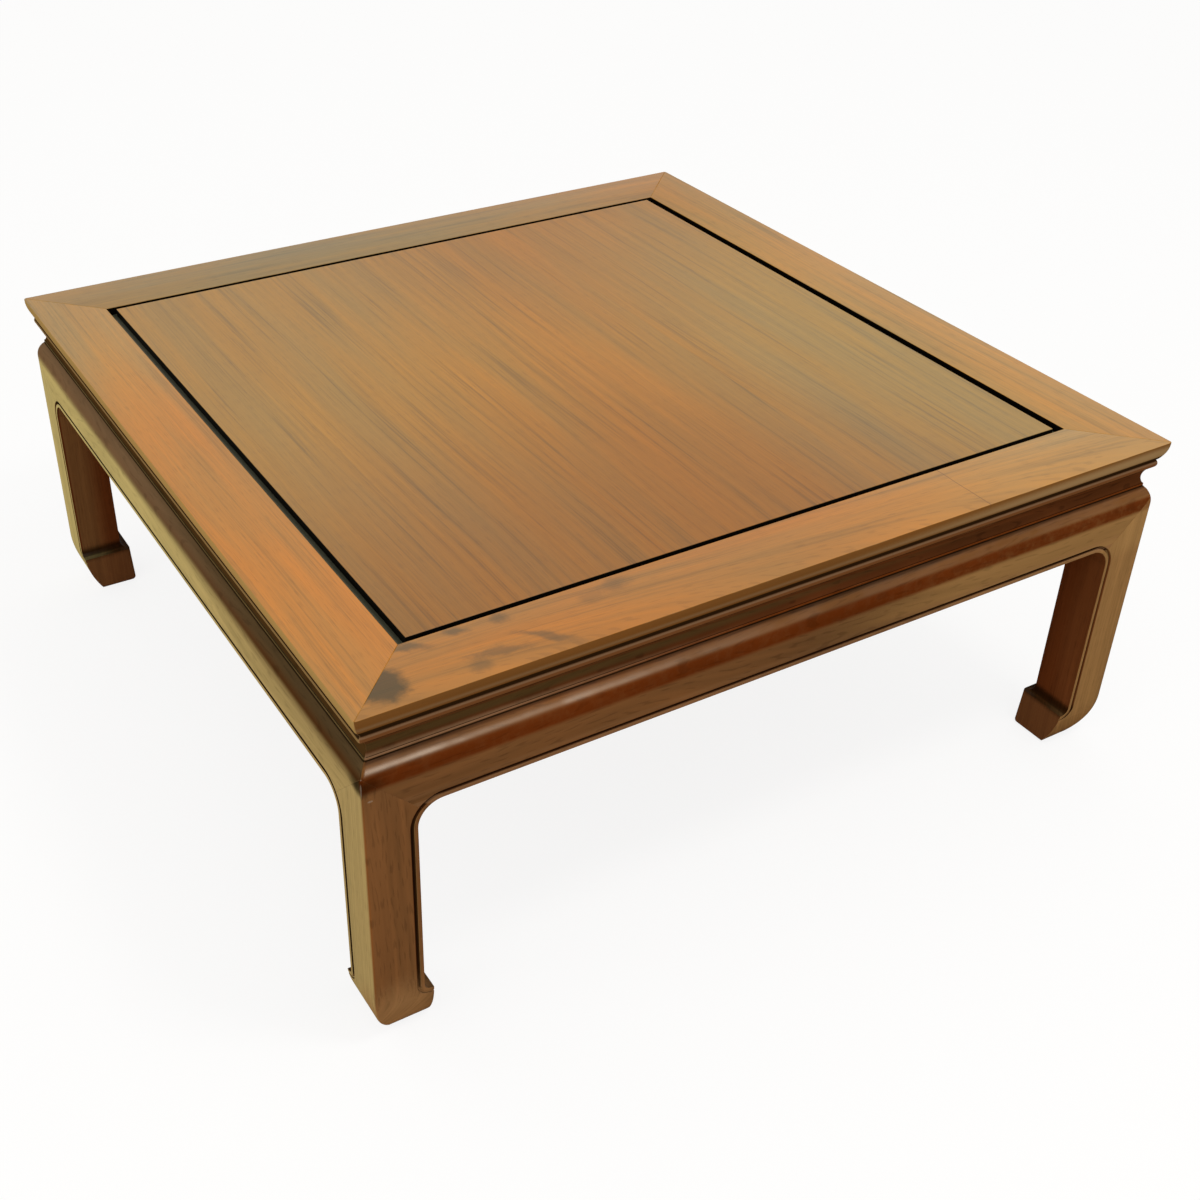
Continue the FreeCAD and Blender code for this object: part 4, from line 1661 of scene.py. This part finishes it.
    def _scratches(self) -> tuple[Mark, ...]:
        """Rubbed near foot, with knocks on the shoulder above it and nicks on the leg."""
        foot = (-0.430, -0.445, 0.015)
        return (
            Scuff(foot, (0.040, 0.025, 0.050), self.rubbed_foot, 0.75, ragged=0.3, soft=0.5),
            Scuff((-0.443, -0.4495, 0.3195), (0.008, 0.004, 0.0024), self.scratch, 0.6, ragged=1.4),
            Scuff((-0.4512, -0.4512, 0.317), (0.0009, 0.0009, 0.006), self.scratch, 0.45, ragged=0.9),
            Scuff((-0.4528, -0.4528, 0.306), (0.0008, 0.0008, 0.007), self.scratch, 0.35, ragged=0.9),
            Scuff((-0.446, -0.454, 0.293), (0.0025, 0.003, 0.0010), self.scratch, 0.40, ragged=1.2),
        )

    def build(self) -> list[bpy.types.Object]:
        """Makes and dresses the aprons and legs.

        Returns:
            The new pieces.
        """
        woods = []
        for side in Side:
            piece = "apron_" + side.word
            marks = self._outer_marks(side) + self._bead_marks(side)
            seed = self.apron_seeds.of(side.value)
            woods.append(Rosewood(piece, side.grain, self.apron_heart, BASE_STOCK, seed, marks))
        for index, corner in enumerate(Corner):
            piece = "leg_" + corner.name.lower()
            marks = self._leg_marks(corner)
            seed = self.leg_seeds.of(index)
            woods.append(Rosewood(piece, Grain.Z, self.leg_hearts[index], BASE_STOCK, seed, marks))
        return [self.solid.add(wood, "base_wood") for wood in woods]


@dataclass(frozen=True)
class Lamp:
    """Soft lamp with a flat face, or a card that shows only in the gloss of some pieces."""

    name: str
    place: Place
    target: Place
    size: Point
    power: float
    colour: Colour
    card: bool = False

    def hang(self, glossy: list[bpy.types.Object]) -> None:
        """Adds the lamp to the scene.

        Args:
            glossy: pieces that a card is held up to.
        """
        data = bpy.data.lights.new(self.name, "AREA")
        data.shape = "RECTANGLE"
        data.size, data.size_y = self.size
        data.energy = self.power
        data.color = self.colour
        lamp = put(self.name, data)
        lamp.location = self.place
        lamp.rotation_mode = "QUATERNION"
        lamp.rotation_quaternion = (Vector(self.target) - Vector(self.place)).to_track_quat("-Z", "Y")
        if self.card:
            lamp.visible_diffuse = False
            held = bpy.data.collections.new(self.name + "_pieces")
            for piece in glossy:
                held.objects.link(piece)
            lamp.light_linking.receiver_collection = held


@dataclass
class Studio:
    """Pale floor, soft light and the camera of the photograph."""

    focal_pixels: float = 1578.58
    pitch: float = math.radians(34.6005)
    yaw: float = math.radians(31.0238)
    roll: float = math.radians(0.8492)
    centre: Point = (538.95, 603.65)
    eye: Place = (-0.82374, -1.34177, 1.14887)
    floor_half: float = 9.0
    floor_colour: Colour = (0.72, 0.64, 0.50)
    shadow_share: float = 0.15
    fill_colour: Colour = (1.0, 0.97, 0.92)
    fill: float = 0.8
    lamps: tuple[Lamp, ...] = (
        Lamp("overhead", (0.4, -1.1, 2.3), (0.0, 0.0, 0.3), (0.45, 0.45), 13.0, (1.0, 0.97, 0.92)),
        Lamp("side", (-2.6, -0.6, 1.4), (0.0, 0.0, 0.2), (1.6, 1.6), 10.0, (1.0, 0.95, 0.86)),
        Lamp("card", (0.15, -2.42, 1.06), (-0.4, -0.45, 0.32), (0.8, 0.45), 90.0, (1.0, 0.92, 0.76), True),
    )

    def build(self, glossy: list[bpy.types.Object]) -> None:
        """Makes the floor, lights and camera.

        Args:
            glossy: pieces whose gloss shows the card.
        """
        self._floor()
        self._world()
        for lamp in self.lamps:
            lamp.hang(glossy)
        self._camera()

    def _floor(self) -> None:
        """Lays a pale floor that shows white and keeps the table's shadow."""
        half = self.floor_half
        mesh = bpy.data.meshes.new("floor")
        corners = [(-half, -half, 0.0), (half, -half, 0.0), (half, half, 0.0), (-half, half, 0.0)]
        mesh.from_pydata(corners, [], [(0, 1, 2, 3)])
        floor = put("floor", mesh)
        made = bpy.data.materials.new("pale_floor")
        web = Web.of(made)
        boards = web.node("ShaderNodeBsdfDiffuse", {}, {"Color": opaque(self.floor_colour)})
        pale = web.node("ShaderNodeBsdfDiffuse", {}, {"Color": opaque(WHITE)})
        glow = web.node("ShaderNodeEmission", {}, {"Color": opaque(WHITE), "Strength": 1.0})
        shown = web.node("ShaderNodeMixShader", {}, {0: self.shadow_share, 1: glow, 2: pale})
        surface = web.node("ShaderNodeMixShader", {}, {0: self._seen(web), 1: boards, 2: shown})
        web.node("ShaderNodeOutputMaterial", {}, {"Surface": surface})
        mesh.materials.append(made)

    def _seen(self, web: Web) -> Value:
        """One for rays that show the background, nought for light that bounces.

        Args:
            web: tree of the floor or the world.

        Returns:
            The mask of those rays.
        """
        rays = ("Is Camera Ray", "Is Glossy Ray", "Is Transmission Ray")
        camera, glossy, through = (web.node("ShaderNodeLightPath", {}, {}, ray) for ray in rays)
        return web.math("MAXIMUM", web.math("MAXIMUM", camera, glossy), through)

    def _world(self) -> None:
        """Fills the room with even light, in front of a white backdrop."""
        world = bpy.data.worlds.new("studio")
        web = Web.of(world)
        fill, backdrop = (
            web.node("ShaderNodeBackground", {}, {"Color": opaque(colour), "Strength": strength})
            for colour, strength in ((self.fill_colour, self.fill), (WHITE, 1.0))
        )
        shown = web.node("ShaderNodeMixShader", {}, {0: self._seen(web), 1: fill, 2: backdrop})
        web.node("ShaderNodeOutputWorld", {}, {"Surface": shown})
        bpy.context.scene.world = world

    def _camera(self) -> None:
        """Sets the camera at the photograph's viewing angle."""
        ahead = Vector((
            math.sin(self.yaw) * math.cos(self.pitch),
            math.cos(self.yaw) * math.cos(self.pitch),
            -math.sin(self.pitch),
        ))
        right = Vector((math.cos(self.yaw), -math.sin(self.yaw), 0.0))
        up = right.cross(ahead)
        x_axis = right * math.cos(self.roll) + up * math.sin(self.roll)
        y_axis = up * math.cos(self.roll) - right * math.sin(self.roll)
        data = bpy.data.cameras.new("camera")
        data.sensor_fit = "HORIZONTAL"
        data.sensor_width = SENSOR_WIDTH
        data.lens = self.focal_pixels / IMAGE_SIZE * SENSOR_WIDTH
        data.shift_x = 0.5 - self.centre[0] / IMAGE_SIZE
        data.shift_y = self.centre[1] / IMAGE_SIZE - 0.5
        camera = put("camera", data)
        turn = Matrix((x_axis, y_axis, -ahead)).transposed().to_4x4()
        camera.matrix_world = Matrix.Translation(self.eye) @ turn
        bpy.context.scene.camera = camera


def main() -> None:
    """Builds the table's looks and the studio."""
    logging.basicConfig(level=logging.INFO, format="%(message)s")
    bpy.context.scene.view_settings.view_transform = "Standard"
    run = MitredRun()
    TopFrame().build(run)
    Panel().build()
    Waist().build(run)
    base = Base().build()
    Studio().build(base)


if __name__ == "__main__":
    main()
